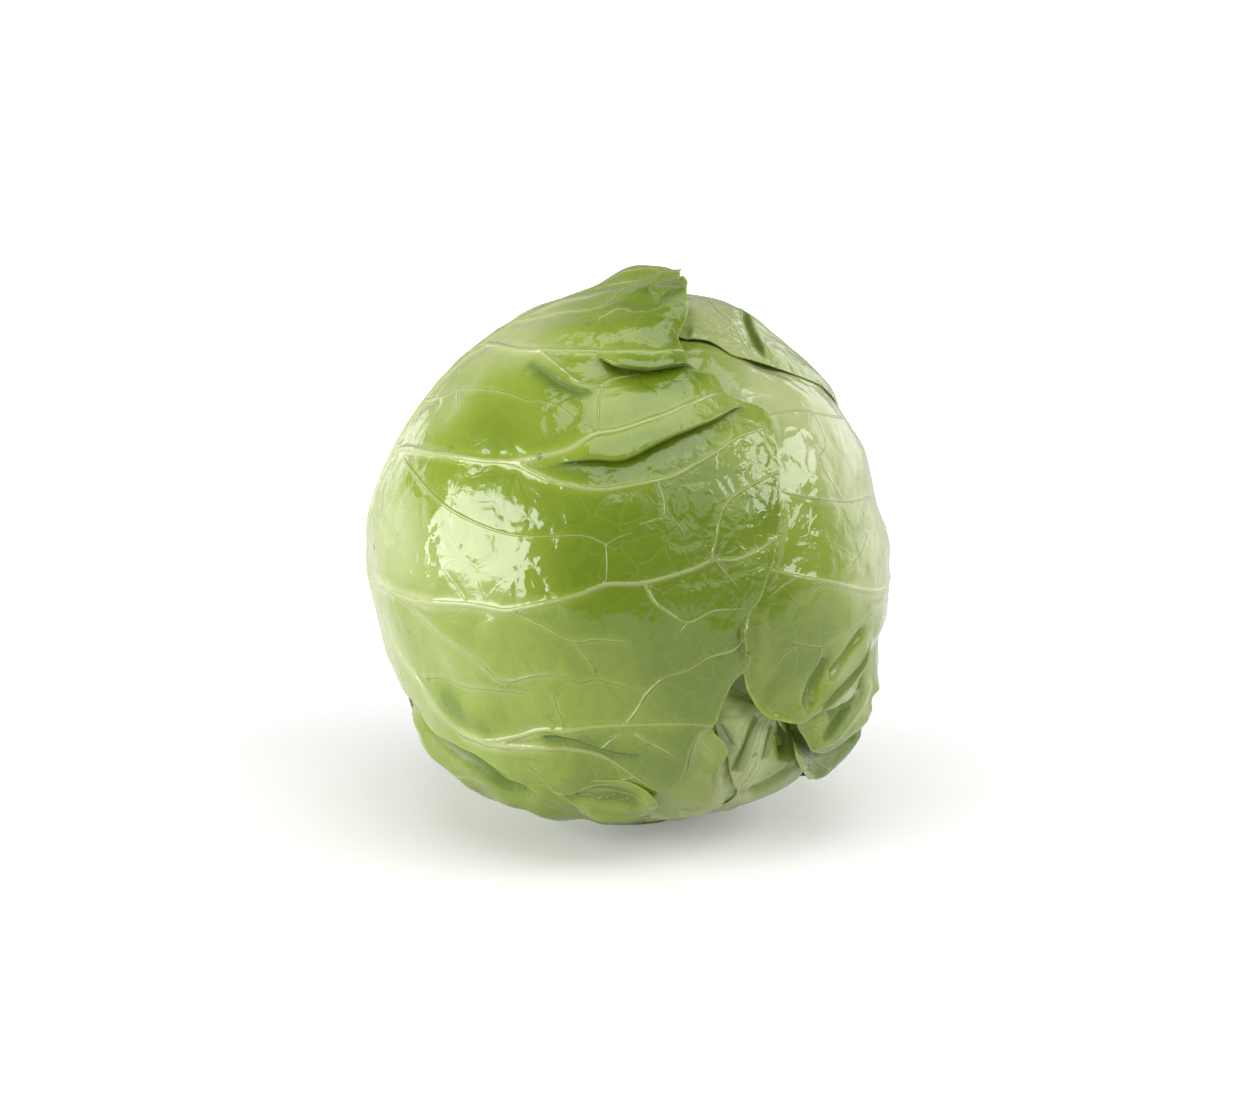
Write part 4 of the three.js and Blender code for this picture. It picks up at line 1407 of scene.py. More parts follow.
def colour_group() -> Tree:
    """Makes the shader group that colours a leaf.

    Returns:
        The group. It takes the leaf's colours and the masks of its veins, reads the mesh's tone, and puts
        out the blade's colour.
    """
    colours = ["Deep", "Fresh", "Pale", "Vein Colour", "Rib Colour", "Rim Colour", "Painted Shade Colour"]
    masks = ["Rib", "Net", "Halo"]
    group, sh, ins, outs = new_group(
        "leaf_colour",
        {**{n: "NodeSocketColor" for n in colours}, **{n: "NodeSocketFloat" for n in masks}},
        {"Colour": "NodeSocketColor"},
    )
    place = sh.node("ShaderNodeTexCoord").outputs["Object"]
    slow, quick = sh.noise(place, 26.0, 3.0), sh.noise(place, 120.0, 4.0)
    mottle = sh.math("MULTIPLY_ADD", slow, 0.65, sh.math("MULTIPLY", quick, 0.35))
    tone = sh.math("MULTIPLY_ADD", sh.math("SUBTRACT", mottle, 0.5), 0.6, sh.attribute("tone"))
    tone = sh.math("MULTIPLY_ADD", ins["Halo"], 0.38, tone)
    low = sh.mix(sh.ramp(tone, 0.0, 0.5), ins["Deep"], ins["Fresh"])
    blade = sh.mix(sh.ramp(tone, 0.4, 1.0), low, ins["Pale"])
    blade = sh.mix(sh.math("MULTIPLY", ins["Net"], 0.3), blade, ins["Vein Colour"])
    strength = sh.ramp(sh.attribute("rib_width"), 0.5, 3.2, 0.35, 0.85)
    blade = sh.mix(sh.math("MULTIPLY", ins["Rib"], strength), blade, ins["Rib Colour"])
    # Rim Colour: a paler line along each edge, the thin edge's own colour and painted light on it.
    rim = sh.math("MULTIPLY", sh.ramp(sh.attribute("edge_gap"), 0.8, 0.1), 0.6)
    blade = sh.mix(rim, blade, ins["Rim Colour"])
    # Painted shade: creases and hollows are mixed towards a dark colour.
    blade = sh.mix(sh.math("MULTIPLY", sh.attribute("crease"), 0.8), blade, ins["Painted Shade Colour"])
    sh.put(outs["Colour"], blade)
    return group


class Finishes:
    """The head's materials, made once each."""

    def __init__(self) -> None:
        """Builds the shader groups that the leaf materials share."""
        self.veins = vein_group()
        self.colours = colour_group()

    def place_group(self, sh: Shader, group: Tree, values: dict[str, object]) -> Node:
        """Puts a shader group into a material.

        Args:
            sh: the material's builder.
            group: the shader group.
            values: values or sockets for its inputs.

        Returns:
            The group's node.
        """
        node = sh.node("ShaderNodeGroup")
        node.node_tree = group
        sh.fill(node, values)
        return node

    def leaf(self, finish: LeafFinish) -> Material:
        """Makes the material of a leaf: waxy skin over pale flesh.

        Args:
            finish: the look of the leaf.

        Returns:
            The material.
        """
        material, sh, shader = new_material(finish.name)
        cells = {"Net Cell": finish.net_cell, "Fine Cell": finish.fine_cell}
        veins = self.place_group(sh, self.veins, cells)
        colours = self.place_group(
            sh,
            self.colours,
            {
                "Deep": finish.deep, "Fresh": finish.fresh, "Pale": finish.pale, "Vein Colour": finish.vein,
                "Rib Colour": finish.rib, "Rim Colour": finish.rim, "Painted Shade Colour": finish.hollow,
                **{name: veins.outputs[name] for name in ("Rib", "Net", "Halo")},
            },
        )
        place = sh.node("ShaderNodeTexCoord").outputs["Object"]
        crease = sh.attribute("crease")
        smooth = sh.ramp(sh.noise(place, 60.0, 4.0), 0.3, 0.75, finish.roughness, finish.roughness + 0.1)
        waxed = sh.ramp(sh.noise(place, 38.0, 3.0), 0.3, 0.7, finish.coat * 0.6, finish.coat)
        pores, relief = sh.node("ShaderNodeBump"), sh.node("ShaderNodeBump")
        skin = sh.noise(place, 150.0, 5.0, 0.45)
        sh.fill(pores, {"Distance": finish.skin_bump, "Strength": 1.0, "Height": skin})
        sh.fill(
            relief,
            {
                "Distance": finish.vein_bump, "Strength": 1.0, "Height": veins.outputs["Height"],
                "Normal": pores.outputs["Normal"],
            },
        )
        sh.fill(
            shader,
            {
                "Base Color": colours.outputs["Colour"],
                "Roughness": sh.math("MULTIPLY_ADD", crease, 0.6, smooth),
                "Coat Weight": sh.math("MULTIPLY", waxed, sh.math("SUBTRACT", 1.0, crease)),
                "Coat Roughness": finish.coat_roughness,
                "Coat IOR": 1.4,
                "IOR": 1.5,
                "Specular IOR Level": 0.62,
                "Subsurface Weight": finish.flesh,
                "Subsurface Radius": (0.8, 1.0, 0.25),
                "Subsurface Scale": 0.003,
                "Normal": relief.outputs["Normal"],
            },
        )
        return material

    def stem(self) -> Material:
        """Makes the material of the cut stem: cream, with a fibrous face.

        Returns:
            The material.
        """
        material, sh, shader = new_material("stem_flesh")
        place = sh.node("ShaderNodeTexCoord").outputs["Object"]
        fibre, slow = sh.noise(place, 420.0, 4.0, 0.7), sh.noise(place, 60.0, 3.0)
        flesh = sh.mix(sh.ramp(slow, 0.3, 0.7), (0.66, 0.62, 0.36), (0.78, 0.76, 0.52))
        skin = sh.mix(sh.ramp(sh.attribute("ring"), 0.78, 0.97), flesh, (0.42, 0.50, 0.16))
        bruise = sh.math("MULTIPLY", sh.ramp(fibre, 0.55, 0.8), 0.4)
        bump = sh.node("ShaderNodeBump")
        sh.fill(bump, {"Distance": 0.0003, "Height": fibre})
        sh.fill(
            shader,
            {
                "Base Color": sh.mix(bruise, skin, (0.36, 0.27, 0.12)),
                "Roughness": sh.ramp(fibre, 0.2, 0.8, 0.55, 0.8),
                "Normal": bump.outputs["Normal"],
            },
        )
        return material

    def water(self) -> Material:
        """Makes the material of the drops of water.

        Returns:
            The material.
        """
        material, sh, shader = new_material("water")
        place = sh.node("ShaderNodeTexCoord").outputs["Object"]
        sh.fill(
            shader,
            {
                "Base Color": (0.2, 0.3, 0.05),
                "Alpha": 0.3,
                "IOR": 1.33,
                "Coat Weight": 1.0,
                "Coat Roughness": 0.02,
                "Roughness": sh.ramp(sh.noise(place, 300.0), 0.3, 0.7, 0.05, 0.12),
            },
        )
        return material

    def floor(self) -> Material:
        """Makes the material of the pale floor, which goes over into white away from the head.

        Returns:
            The material.
        """
        material, sh, shader = new_material("pale_floor")
        place = sh.node("ShaderNodeTexCoord").outputs["Object"]
        away = sh.node("ShaderNodeVectorMath", operation="LENGTH")
        sh.put(away.inputs[0], place)
        glow = sh.ramp(away.outputs["Value"], 0.09, 0.65, 0.2, 1.0)
        to_camera = sh.node("ShaderNodeLightPath").outputs["Is Camera Ray"]
        sh.fill(
            shader,
            {
                "Base Color": sh.mix(sh.noise(place, 3.0), (0.79, 0.79, 0.79), (0.81, 0.81, 0.81)),
                "Roughness": 0.8,
                "Emission Color": (1.0, 1.0, 1.0),
                "Emission Strength": sh.math("MULTIPLY", glow, to_camera),
            },
        )
        return material


# ---- meshes


def mesh_object(
    name: str,
    points: Array,
    faces: Array,
    material: Material,
    values: dict[str, Array] | None = None,
    sharp: Array | None = None,
) -> Piece:
    """Makes a smooth-shaded mesh object.

    Args:
        name: the object's name.
        points: vertices in metres.
        faces: triangles, as rows of vertex numbers.
        material: its material.
        values: attributes of the vertices, by name.
        sharp: edges that stay sharp, as rows of vertex numbers.

    Returns:
        The object, linked to the scene.
    """
    mesh = bpy.data.meshes.new(name)
    mesh.vertices.add(len(points))
    mesh.vertices.foreach_set("co", points.astype(np.float32).ravel())
    mesh.loops.add(faces.size)
    mesh.loops.foreach_set("vertex_index", faces.astype(np.int32).ravel())
    mesh.polygons.add(len(faces))
    mesh.polygons.foreach_set("loop_start", np.arange(0, faces.size, 3, dtype=np.int32))
    mesh.update(calc_edges=True)
    mesh.validate()
    mesh.polygons.foreach_set("use_smooth", np.ones(len(faces), bool))
    for key, value in (values or {}).items():
        if value.ndim == 1:
            mesh.attributes.new(key, "FLOAT", "POINT").data.foreach_set("value", value.astype(np.float32))
        else:
            wide = np.zeros((len(value), 3), np.float32)
            wide[:, : value.shape[1]] = value
            mesh.attributes.new(key, "FLOAT_VECTOR", "POINT").data.foreach_set("vector", wide.ravel())
    if sharp is not None:
        wanted = {(min(a, b), max(a, b)) for a, b in sharp.tolist()}
        ends = np.zeros(len(mesh.edges) * 2, np.int32)
        mesh.edges.foreach_get("vertices", ends)
        pairs = np.sort(ends.reshape(-1, 2), axis=1)
        flags = np.fromiter(((a, b) in wanted for a, b in pairs.tolist()), bool, len(pairs))
        mesh.attributes.new("sharp_edge", "BOOLEAN", "EDGE").data.foreach_set("value", flags)
    mesh.materials.append(material)
    made = bpy.data.objects.new(name, mesh)
    bpy.context.scene.collection.objects.link(made)
    return made


def inside(points: Array, outline: Array) -> Array:
    """Finds the points inside a closed outline.

    Args:
        points: rows of x and y.
        outline: its corners in order, as rows of x and y.

    Returns:
        Whether each point is inside.
    """
    crossings = np.zeros(len(points), int)
    for (x0, y0), (x1, y1) in zip(outline, np.roll(outline, -1, axis=0)):
        spans = (y0 > points[:, 1]) != (y1 > points[:, 1])
        meets = x0 + (x1 - x0) * (points[:, 1] - y0) / (y1 - y0 if y1 != y0 else 1.0)
        crossings += spans & (points[:, 0] < meets)
    return crossings % 2 == 1


def triangulated(flat: Array, rim: int) -> Array:
    """Triangles between points on a map.

    Args:
        flat: the points, as rows of x and y; the first ones are the outline, in order.
        rim: how many points the outline has.

    Returns:
        The triangles inside the outline, as rows of point numbers, turned to the left.
    """
    edges = [(k, (k + 1) % rim) for k in range(rim)]
    points = [Vector(p) for p in flat.tolist()]
    inside_only, same_point = 1, 1e-7
    _, _, faces, origins, _, _ = delaunay_2d_cdt(points, edges, [], inside_only, same_point, True)
    if any(not origin for origin in origins):
        raise ValueError("a leaf's outline crosses itself")
    number = np.array([origin[0] for origin in origins])
    triangles = number[np.array(faces)]
    bridging = np.flatnonzero((triangles < rim).all(axis=1))
    outside = bridging[~inside(flat[triangles[bridging]].mean(axis=1), flat[:rim])]
    triangles = np.delete(triangles, outside, axis=0)
    a, b, c = (flat[triangles[:, k]] for k in range(3))
    turn = (b[:, 0] - a[:, 0]) * (c[:, 1] - a[:, 1]) - (b[:, 1] - a[:, 1]) * (c[:, 0] - a[:, 0])
    return np.where(turn[:, None] > 0, triangles, triangles[:, ::-1])


def turned_faces(rows: int, sides: int) -> Array:
    """The faces of a round body, made of rings of points and one point at each end.

    Args:
        rows: how many rings it has. Their points come first, one ring after another.
        sides: how many points a ring has. The points of the first end and of the last end follow.

    Returns:
        Triangles, as rows of point numbers.
    """
    k, j, end = np.arange(sides), (np.arange(sides) + 1) % sides, rows * sides
    ring = np.arange(rows - 1)[:, None] * sides
    a, b = (ring + k).ravel(), (ring + j).ravel()
    last = end - sides
    return np.vstack(
        [
            np.stack([a, b, b + sides], 1),
            np.stack([a, b + sides, a + sides], 1),
            np.stack([np.full(sides, end), j, k], 1),
            np.stack([np.full(sides, end + 1), last + k, last + j], 1),
        ]
    )


class HeadPart:
    """A piece of the head that stands in for one solid of the frame."""

    def __init__(self, slot: str, nodes: list[str]) -> None:
        """Sets the slot of the piece's finish and the names of the solids that it stands for."""
        self.slot = slot
        self.nodes = nodes

    def settle(self, made: Piece) -> Piece:
        """Fastens a finished piece to the frame and reports it.

        Args:
            made: the piece.

        Returns:
            The same piece.
        """
        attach(made, "root")
        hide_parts(*self.nodes)
        log.info("%s: %d faces", made.name, len(made.data.polygons))
        return made


class WrapperLeaf(HeadPart):
    """One wrapper leaf."""

    def __init__(
        self, plan: LeafPlan, above: list[Layer], shape: HeadShape, layering: Layering, middle: Array
    ) -> None:
        """Prepares a leaf.

        Args:
            plan: what the leaf is drawn from.
            above: the leaves that lie on it.
            shape: the head's outline.
            layering: how leaves lie on one another.
            middle: the middle of the head, in mm.
        """
        super().__init__("inner_leaf" if plan.inner else "outer_leaf", [plan.node])
        self.plan = plan
        self.above = above
        self.shape = shape
        self.layering = layering
        self.middle = middle
        self.layer = Layer(plan, layering)
        self.bare = np.zeros((0, 3))
        rng = np.random.default_rng(plan.seed)
        midrib_size = RibSize.MIDRIB if plan.rule else RibSize.SIDE
        self.ribs = [(trail(plan.midrib, 2.0), midrib_size)]
        self.ribs += [(trail(rib.places, 1.0), rib.size) for rib in plan.ribs]
        self.ribs += [(line, RibSize.SIDE) for line in side_ribs(plan, self.layer, rng)]

    def rib_fields(self, d: Array) -> dict[str, Array]:
        """How directions lie to the ribs.

        Args:
            d: directions, one row each.

        Returns:
            The nearest rib's distance, the same with a sign for its side, its width and the ribs' height,
            in mm.
        """
        n, reach, widest = len(d), 26, 6.0
        gap, side, width = np.full(n, NOTHING_NEAR), np.full(n, NOTHING_NEAR), np.full(n, 2.0)
        height, swell = np.zeros(n), np.zeros(n)
        for line, size in self.ribs:
            at = nearest(d, line, reach)
            root_width, tip_width, root_height, tip_height = size.value
            wide = root_width + (tip_width - root_width) * at.along
            tall = root_height + (tip_height - root_height) * at.along
            ends = smoothstep(0, 0.08, 1.0 - at.along) * 0.75 + 0.25
            x = at.distance / (wide / 2)
            crest = tall * ends * np.where(x < 1, np.cos(np.minimum(x, 1) * math.pi / 2) ** 2, 0)
            height = np.maximum(height, crest)
            swell = np.maximum(swell, 0.5 * tall * np.exp(-((at.distance / (wide * 0.8 + 2.0)) ** 2)))
            closer = at.distance - wide * 0.25 < gap - width * 0.25
            gap = np.where(closer, at.distance, gap)
            side = np.where(closer, at.distance * at.side, side)
            width = np.where(closer, np.minimum(wide * 0.8, widest), width)
        return {"rib_gap": gap, "rib_side": side, "rib_width": width, "height": height + swell}

    def lift(self, d: Array, rib_gap: Array, edge_gap: Array) -> Relief:
        """How the blade swells and creases between its ribs.

        Args:
            d: directions.
            rib_gap: distances to the nearest rib, in mm.
            edge_gap: distances to the leaf's edge, in mm.

        Returns:
            The blade's relief.
        """
        seed, softness, between_ribs, reach = self.plan.seed, 0.05, 0.45, 6.0
        waves = (Waves(46.0, seed), Waves(14.0, seed + 50), Waves(5.5, seed + 60))
        height = sum((tall * wave.at(d) for tall, wave in zip((0.3, 0.11, 0.035), waves)), BLADE_REST)
        height = 0.5 * (height + np.sqrt(height * height + softness))
        height += between_ribs * (1 - np.exp(-((rib_gap / reach) ** 2)))
        height = BLADE_REST + (height - BLADE_REST) * smoothstep(-1.0, reach, edge_gap)
        relief = Relief(height, np.zeros((len(d), 3)), np.zeros(len(d)), np.zeros(len(d)))
        for puff in self.plan.puffs:
            at = nearest(d, trail(puff.places, 3.0), reach=3 * puff.width)
            relief.height += puff.height * np.exp(-((at.distance / puff.width) ** 2))
        for fold in self.plan.folds:
            self.crease_blade(fold, d, relief)
        # Hollows pressed into the leaf are painted dark as shade, through the crease mask.
        deep = 2.6
        relief.crease = np.maximum(relief.crease, np.clip(self.layer.pressed(d) / deep, 0, 1) ** 1.5)
        return relief

    def crease_blade(self, fold: Fold, d: Array, relief: Relief) -> None:
        """Adds a crease to a blade, with painted shade in its groove.

        Args:
            fold: the crease.
            d: directions, one row each.
            relief: the blade's relief in these directions, which is changed.
        """
        reach, half_wall, pull_width = 34, 0.45, 4.0
        at = nearest(d, trail(fold.places, 1.0), reach)
        fade = smoothstep(0, fold.fade, np.minimum(at.along, 1 - at.along)) * (at.distance < reach)
        across = at.distance * at.side
        wall = smoothstep(-half_wall, half_wall, across)
        rounding = 0.55 + 0.45 * smoothstep(0.0, 2.0, across)
        lip = wall * rounding * np.exp(-((np.maximum(across, 0) / fold.lip_width) ** 2))
        groove = (1 - wall) * np.exp(-((np.maximum(-across, 0) / fold.groove_width) ** 1.5))
        relief.height += fade * (fold.lip * lip - fold.groove * groove)
        pull = fade * fold.overhang * np.exp(-((across / pull_width) ** 2))
        pull = pull * smoothstep(0.0, 0.9, np.abs(across))
        relief.slide += normalised(at.point - d + 1e-9) * (pull / HEAD_RADIUS)[:, None]
        # Painted shade: the groove is painted darker and the lip a little paler.
        relief.pale += fade * (0.05 * lip - 0.4 * groove)
        # The crease mask paints shade along the groove, under the lip.
        bottom = 0.2
        shade_width = np.where(across < bottom, 2.4, 0.7)
        shade = smoothstep(0, 0.2, fade) * np.exp(-(((across - bottom) / shade_width) ** 2))
        relief.crease = np.maximum(relief.crease, shade)

    def roll(self, d: Array, edge: Nearest) -> tuple[Array, Array]:
        """How stretches of the edge roll outwards.

        Args:
            d: directions, one row each.
            edge: what is nearest to them on the leaf's edge.

        Returns:
            How far they rise, in mm, and how far they slide, as directions.
        """
        rise, slide = np.zeros(len(d)), np.zeros((len(d), 3))
        outward = normalised(edge.point - d + 1e-9)
        for curl in self.plan.curls:
            at = nearest(d, trail(curl.places, 2.0), reach=curl.width + 8)
            weight = smoothstep(0, 0.25, np.minimum(at.along, 1 - at.along) + 0.02)
            weight = weight * (at.distance < curl.width + 6)
            gone = np.clip(curl.width - edge.distance, 0, None) * weight
            bend = gone / curl.radius
            rise += curl.radius * (1 - np.cos(bend))
            slide += outward * ((curl.radius * np.sin(bend) - gone) / HEAD_RADIUS)[:, None]
        return rise, slide

    def surface(self, d: Array) -> dict[str, Array]:
        """The leaf's two faces.

        Args:
            d: directions, one row each.

        Returns:
            The points on its outer and its inner face, in mm, and the fields that its finish reads, by name.
        """
        depth, covered = set_in(self.above, d, self.layering)
        free = (1 - covered) ** 2
        edge = nearest(d, self.layer.edge, closed=True)
        ribs = self.rib_fields(d)
        relief = self.lift(d, ribs["rib_gap"], edge.distance)
        rolled, roll_slide = self.roll(d, edge)
        press = self.layering.edge_press * (1 - smoothstep(0, self.layering.edge_width, edge.distance))
        base = self.shape.radius(d) - depth - self.layer.pressed(d) - press
        base += (relief.height - BLADE_REST + rolled + self.plan.raised) * free
        blade = self.layering.blade * (0.45 + 0.55 * smoothstep(0, 3.0, edge.distance))
        way = normalised(d + (relief.slide + roll_slide) * free[:, None])
        return {
            "outer": self.middle + way * (base + ribs["height"] * free)[:, None],
            "inner": self.middle + way * (base - blade)[:, None],
            "rib_gap": ribs["rib_gap"], "rib_side": ribs["rib_side"], "rib_width": ribs["rib_width"],
            "edge_gap": edge.distance, "tone": self.tone(d, relief.pale), "crease": relief.crease,
            "free": free,
        }

    def tone(self, d: Array, pale: Array) -> Array:
        """How pale the leaf is: paler near its midrib and its foot, with painted shade in its creases and
        hollows.

        Args:
            d: directions, one row each.
            pale: painted shade from the relief, darker in the grooves of creases and a little paler on their
                lips.

        Returns:
            The tone, from 0 to 1.
        """
        midrib = nearest(d, self.ribs[0][0], reach=60)
        near_midrib = 0.45 * np.exp(-((midrib.distance / 20) ** 2)) * (1 - 0.5 * midrib.along)
        tone = self.plan.tone + pale + near_midrib
        # Paler towards the foot, and painted shade in the hollows pressed into it.
        tone += 0.3 * smoothstep(-48, -76, latitude_of(d)) - 0.16 * self.layer.pressed(d)
        # Patches of painted shade and light, and of the leaf's own tone.
        for shade in self.plan.shades:
            away = np.linalg.norm(d - unit(*shade.place), axis=1) * HEAD_RADIUS
            tone += shade.amount * np.exp(-((away / shade.radius) ** 2))
        return np.clip(tone + 0.05 * Waves(30.0, self.plan.seed + 90).at(d), 0, 1)

    def directions(self, spacing: float, thin: bool) -> Array:
        """The directions of one face's points, from the leaf's edge inwards.

        Args:
            spacing: distance between the points of the open blade, in mm.
            thin: whether points are left out along the ribs.

        Returns:
            Unit vectors: the edge in order, then rows along creases, ribs and the edge, then a spread.
        """
        layer = self.layer
        rows = [beside(trail(fold.places, 0.8), FOLD_ROWS) for fold in self.plan.folds]
        rows.append(beside(layer.edge, tuple(layer.turn * row for row in EDGE_ROWS), closed=True))
        for line, size in [] if thin else self.ribs:
            half = min(size.value[0], 5.0) / 2
            rows.append(beside(line, tuple(half * share for share in RIB_ROWS)))
        lines = thinned(np.vstack(rows), ROW_GAP)
        lines = lines[layer.edge_distance(lines) > 0.3]
        spread, hidden_from = [], 0.96
        for step, hidden in ((spacing, False), (COARSER * spacing, True)):
            points = lattice(step)
            points = points[layer.edge_distance(points) > 0.5 * step]
            covered = set_in(self.above, points, self.layering)[1] > hidden_from
            spread.append(away_from(points[covered == hidden], np.vstack([layer.edge, lines]), 0.55 * step))
        return np.vstack([layer.edge, lines, *spread])

    def build(self, material: Material) -> Piece:
        """Makes the leaf's mesh and fastens it to the frame.

        Args:
            material: its material.

        Returns:
            The finished piece.
        """
        spacing = self.plan.spacing * 1.0
        rim = len(self.layer.edge)
        d, d_in = self.directions(spacing, False), self.directions(COARSER * spacing, True)
        flat, flat_in = self.layer.map.flat(d), self.layer.map.flat(d_in)
        outer, inner = self.surface(d), self.surface(d_in)
        count = len(d)
        k, j = np.arange(rim), (np.arange(rim) + 1) % rim
        seam = np.vstack([np.stack([k, k + count, j], 1), np.stack([j, k + count, j + count], 1)])
        seam = seam if self.layer.turn > 0 else seam[:, ::-1]
        faces = np.vstack([triangulated(flat, rim), triangulated(flat_in, rim)[:, ::-1] + count, seam])
        points = np.vstack([outer["outer"], inner["inner"]]) * MM
        keys = ("rib_gap", "rib_side", "rib_width", "edge_gap", "tone", "crease")
        values = {key: np.concatenate([outer[key], inner[key]]) for key in keys}
        values["leaf_place"] = np.vstack([flat, flat_in])
        sharp = np.vstack([np.stack([k, j], 1), np.stack([k, j], 1) + count])
        self.bare = outer["outer"][(outer["free"] > 0.95) & (outer["edge_gap"] > 4)]
        return self.settle(mesh_object(self.plan.name, points, faces, material, values, sharp))


@dataclass
class Heart(HeadPart):
    """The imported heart, in mm, with the steps where its own leaves wrap over one another.

    It is shrunk to leave a gap under the wrapper leaves, and has a dent for the stem.
    """

    shape: HeadShape
    layering: Layering
    middle: Array
    shrink: float = 1.4
    dent_depth: float = 11.0
    wraps: int = 5
    step: float = 1.1
    rings: int = 90

    def __post_init__(self) -> None:
        """Names the solid that the heart stands for."""
        HeadPart.__init__(self, "heart", ["heart"])

    def build(self, layers: list[Layer], material: Material) -> Piece:
        """Makes the heart's mesh and fastens it to the frame.

        Args:
            layers: the wrapper leaves.
            material: its material.

        Returns:
            The finished piece.
        """
        sides = self.rings * 2
        lat = np.linspace(-90, 90, self.rings + 1)[1:-1]
        lon = np.linspace(-180, 180, sides, endpoint=False)
        grid = np.array([unit(longitude, latitude) for latitude in lat for longitude in lon])
        d = np.vstack([grid, [[0, 0, -1.0], [0, 0, 1.0]]])
        depth, _ = set_in(layers, d, self.layering)
        turns = self.wraps * longitude_of(d) / 360 + latitude_of(d) / 60
        step = self.step * (turns - np.floor(turns)) * np.cos(np.radians(latitude_of(d)))
        dent = self.dent_depth * smoothstep(-66, -77, latitude_of(d))
        radius = self.shape.radius(d) - depth - self.shrink - step - dent
        plain = {
            "rib_gap": NOTHING_NEAR, "rib_side": NOTHING_NEAR, "rib_width": 2.0, "edge_gap": NOTHING_NEAR,
            "tone": 0.7, "crease": 0.0,
        }
        values = {key: np.full(len(d), value) for key, value in plain.items()}
        values["leaf_place"] = FlatMap((0, 80)).flat(d)
        points = (self.middle + d * radius[:, None]) * MM
        faces = turned_faces(len(lat), sides)
        return self.settle(mesh_object("heart_leaves", points, faces, material, values))


@dataclass
class StemStump(HeadPart):
    """The cut stump of the stem, in mm, with a lumpy side and a rough cut face."""

    centre: Array
    radius: float = 17.6
    height: float = 15.0
    sides: int = 96

    def __post_init__(self) -> None:
        """Names the solid that the stump stands for."""
        HeadPart.__init__(self, "stem", ["stem_stump"])

    def build(self, material: Material) -> Piece:
        """Makes the stump's mesh and fastens it to the frame.

        Args:
            material: its material.

        Returns:
            The finished piece.
        """
        r, top, seed = self.radius, self.height, 31
        profile = [(share * (r - 1.4), 0.0) for share in (0.12, 0.25, 0.4, 0.55, 0.7, 0.82, 0.92, 1.0)]
        profile += [
            (r - 0.9, 0.15), (r - 0.4, 0.5), (r, 1.3), (r + 0.1, 2.6), (r - 0.1, 4.5), (r - 0.5, 7.0),
            (r - 1.1, 10.0), (r - 2.0, 13.0), (r - 3.2, 14.4), (r - 6.0, top), (4.0, top),
        ]
        rng = np.random.default_rng(seed)
        turn = np.linspace(0, 2 * np.pi, self.sides, endpoint=False)
        lobes = sum(rng.uniform(0.1, 0.35) * np.cos(k * turn + rng.uniform(0, 6)) for k in (3, 4, 5, 8))
        points, ring = [], []
        for radius, z in profile:
            out = radius + lobes * (radius / r) ** 3
            on_cut = z == 0 and radius < r - 2
            rough = 0.12 * np.abs(np.sin(9 * turn + radius)) if on_cut else 0.0
            height = np.full(self.sides, z) + rough
            points.append(np.stack([out * np.cos(turn), out * np.sin(turn), height], 1))
            ring.append(np.full(self.sides, radius / r))
        everything = np.vstack([*points, [[0, 0, 0.1], [0, 0, top]]]) + self.centre
        values = {"ring": np.concatenate([*ring, [0.0, 0.0]])}
        faces = turned_faces(len(profile), self.sides)
        return self.settle(mesh_object("cut_stem", everything * MM, faces, material, values))


@dataclass
class WaterDrops:
    """Small drops of water on the leaves: sizes in mm."""

    count: int = 70
    smallest: float = 0.35
    largest: float = 1.1
    seed: int = 77
    rows: int = 5
    sides: int = 12

    def build(self, leaves: list[WrapperLeaf], middle: Array, material: Material) -> Piece:
        """Scatters the drops over the bare outer faces of the leaves, as one piece.

        Args:
            leaves: the leaves.
            middle: the middle of the head, in mm.
            material: the material of water.

        Returns:
            The finished piece.
        """
        rng = np.random.default_rng(self.seed)
        places = np.vstack([leaf.bare for leaf in leaves])
        chosen = places[rng.integers(0, len(places), self.count)]
        rows, sides = self.rows, self.sides
        up, turn = np.linspace(0, np.pi / 2, rows), np.linspace(0, 2 * np.pi, sides, endpoint=False)[:, None]
        k, j = np.arange(sides), (np.arange(sides) + 1) % sides
        flatness, sunk, longer, mostly_small = 0.55, 0.12, 1.15, 2.5
        points, faces = [], []
        for place in chosen:
            size = self.smallest + (self.largest - self.smallest) * rng.uniform() ** mostly_small
            normal = normalised(place - middle)
            east = normalised(np.cross(normal, [0.1, 0.2, 1.0]))
            north = np.cross(normal, east)
            start = len(points) * ((rows - 1) * sides + 1)
            rings = []
            for angle in up[:-1]:
                out, high = size * np.cos(angle), flatness * size * np.sin(angle) - sunk * size
                ring = place + out * (np.cos(turn) * east + longer * np.sin(turn) * north)
                rings.append(ring + high * normal)
            points.append(np.vstack([*rings, place + (flatness - sunk) * size * normal]))
            for row in range(rows - 2):
                a, b = start + row * sides + k, start + row * sides + j
                faces += [np.stack([a, b, b + sides], 1), np.stack([a, b + sides, a + sides], 1)]
            last, top = start + (rows - 2) * sides, np.full(sides, start + (rows - 1) * sides)
            faces.append(np.stack([last + k, last + j, top], 1))
            faces.append(np.stack([np.full(sides - 2, start), start + k[2:], start + k[1:-1]], 1))
        made = mesh_object("water_drops", np.vstack(points) * MM, np.vstack(faces), material)
        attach(made, "root")
        log.info("%s: %d faces", made.name, len(made.data.polygons))
        return made


# ---- the studio


@dataclass(frozen=True)
class Softbox:
    """A rectangular lamp that faces the head: angles in degrees, lengths in metres, power in watts."""

    name: str
    azimuth: float
    elevation: float
    distance: float
    width: float
    height: float
    power: float


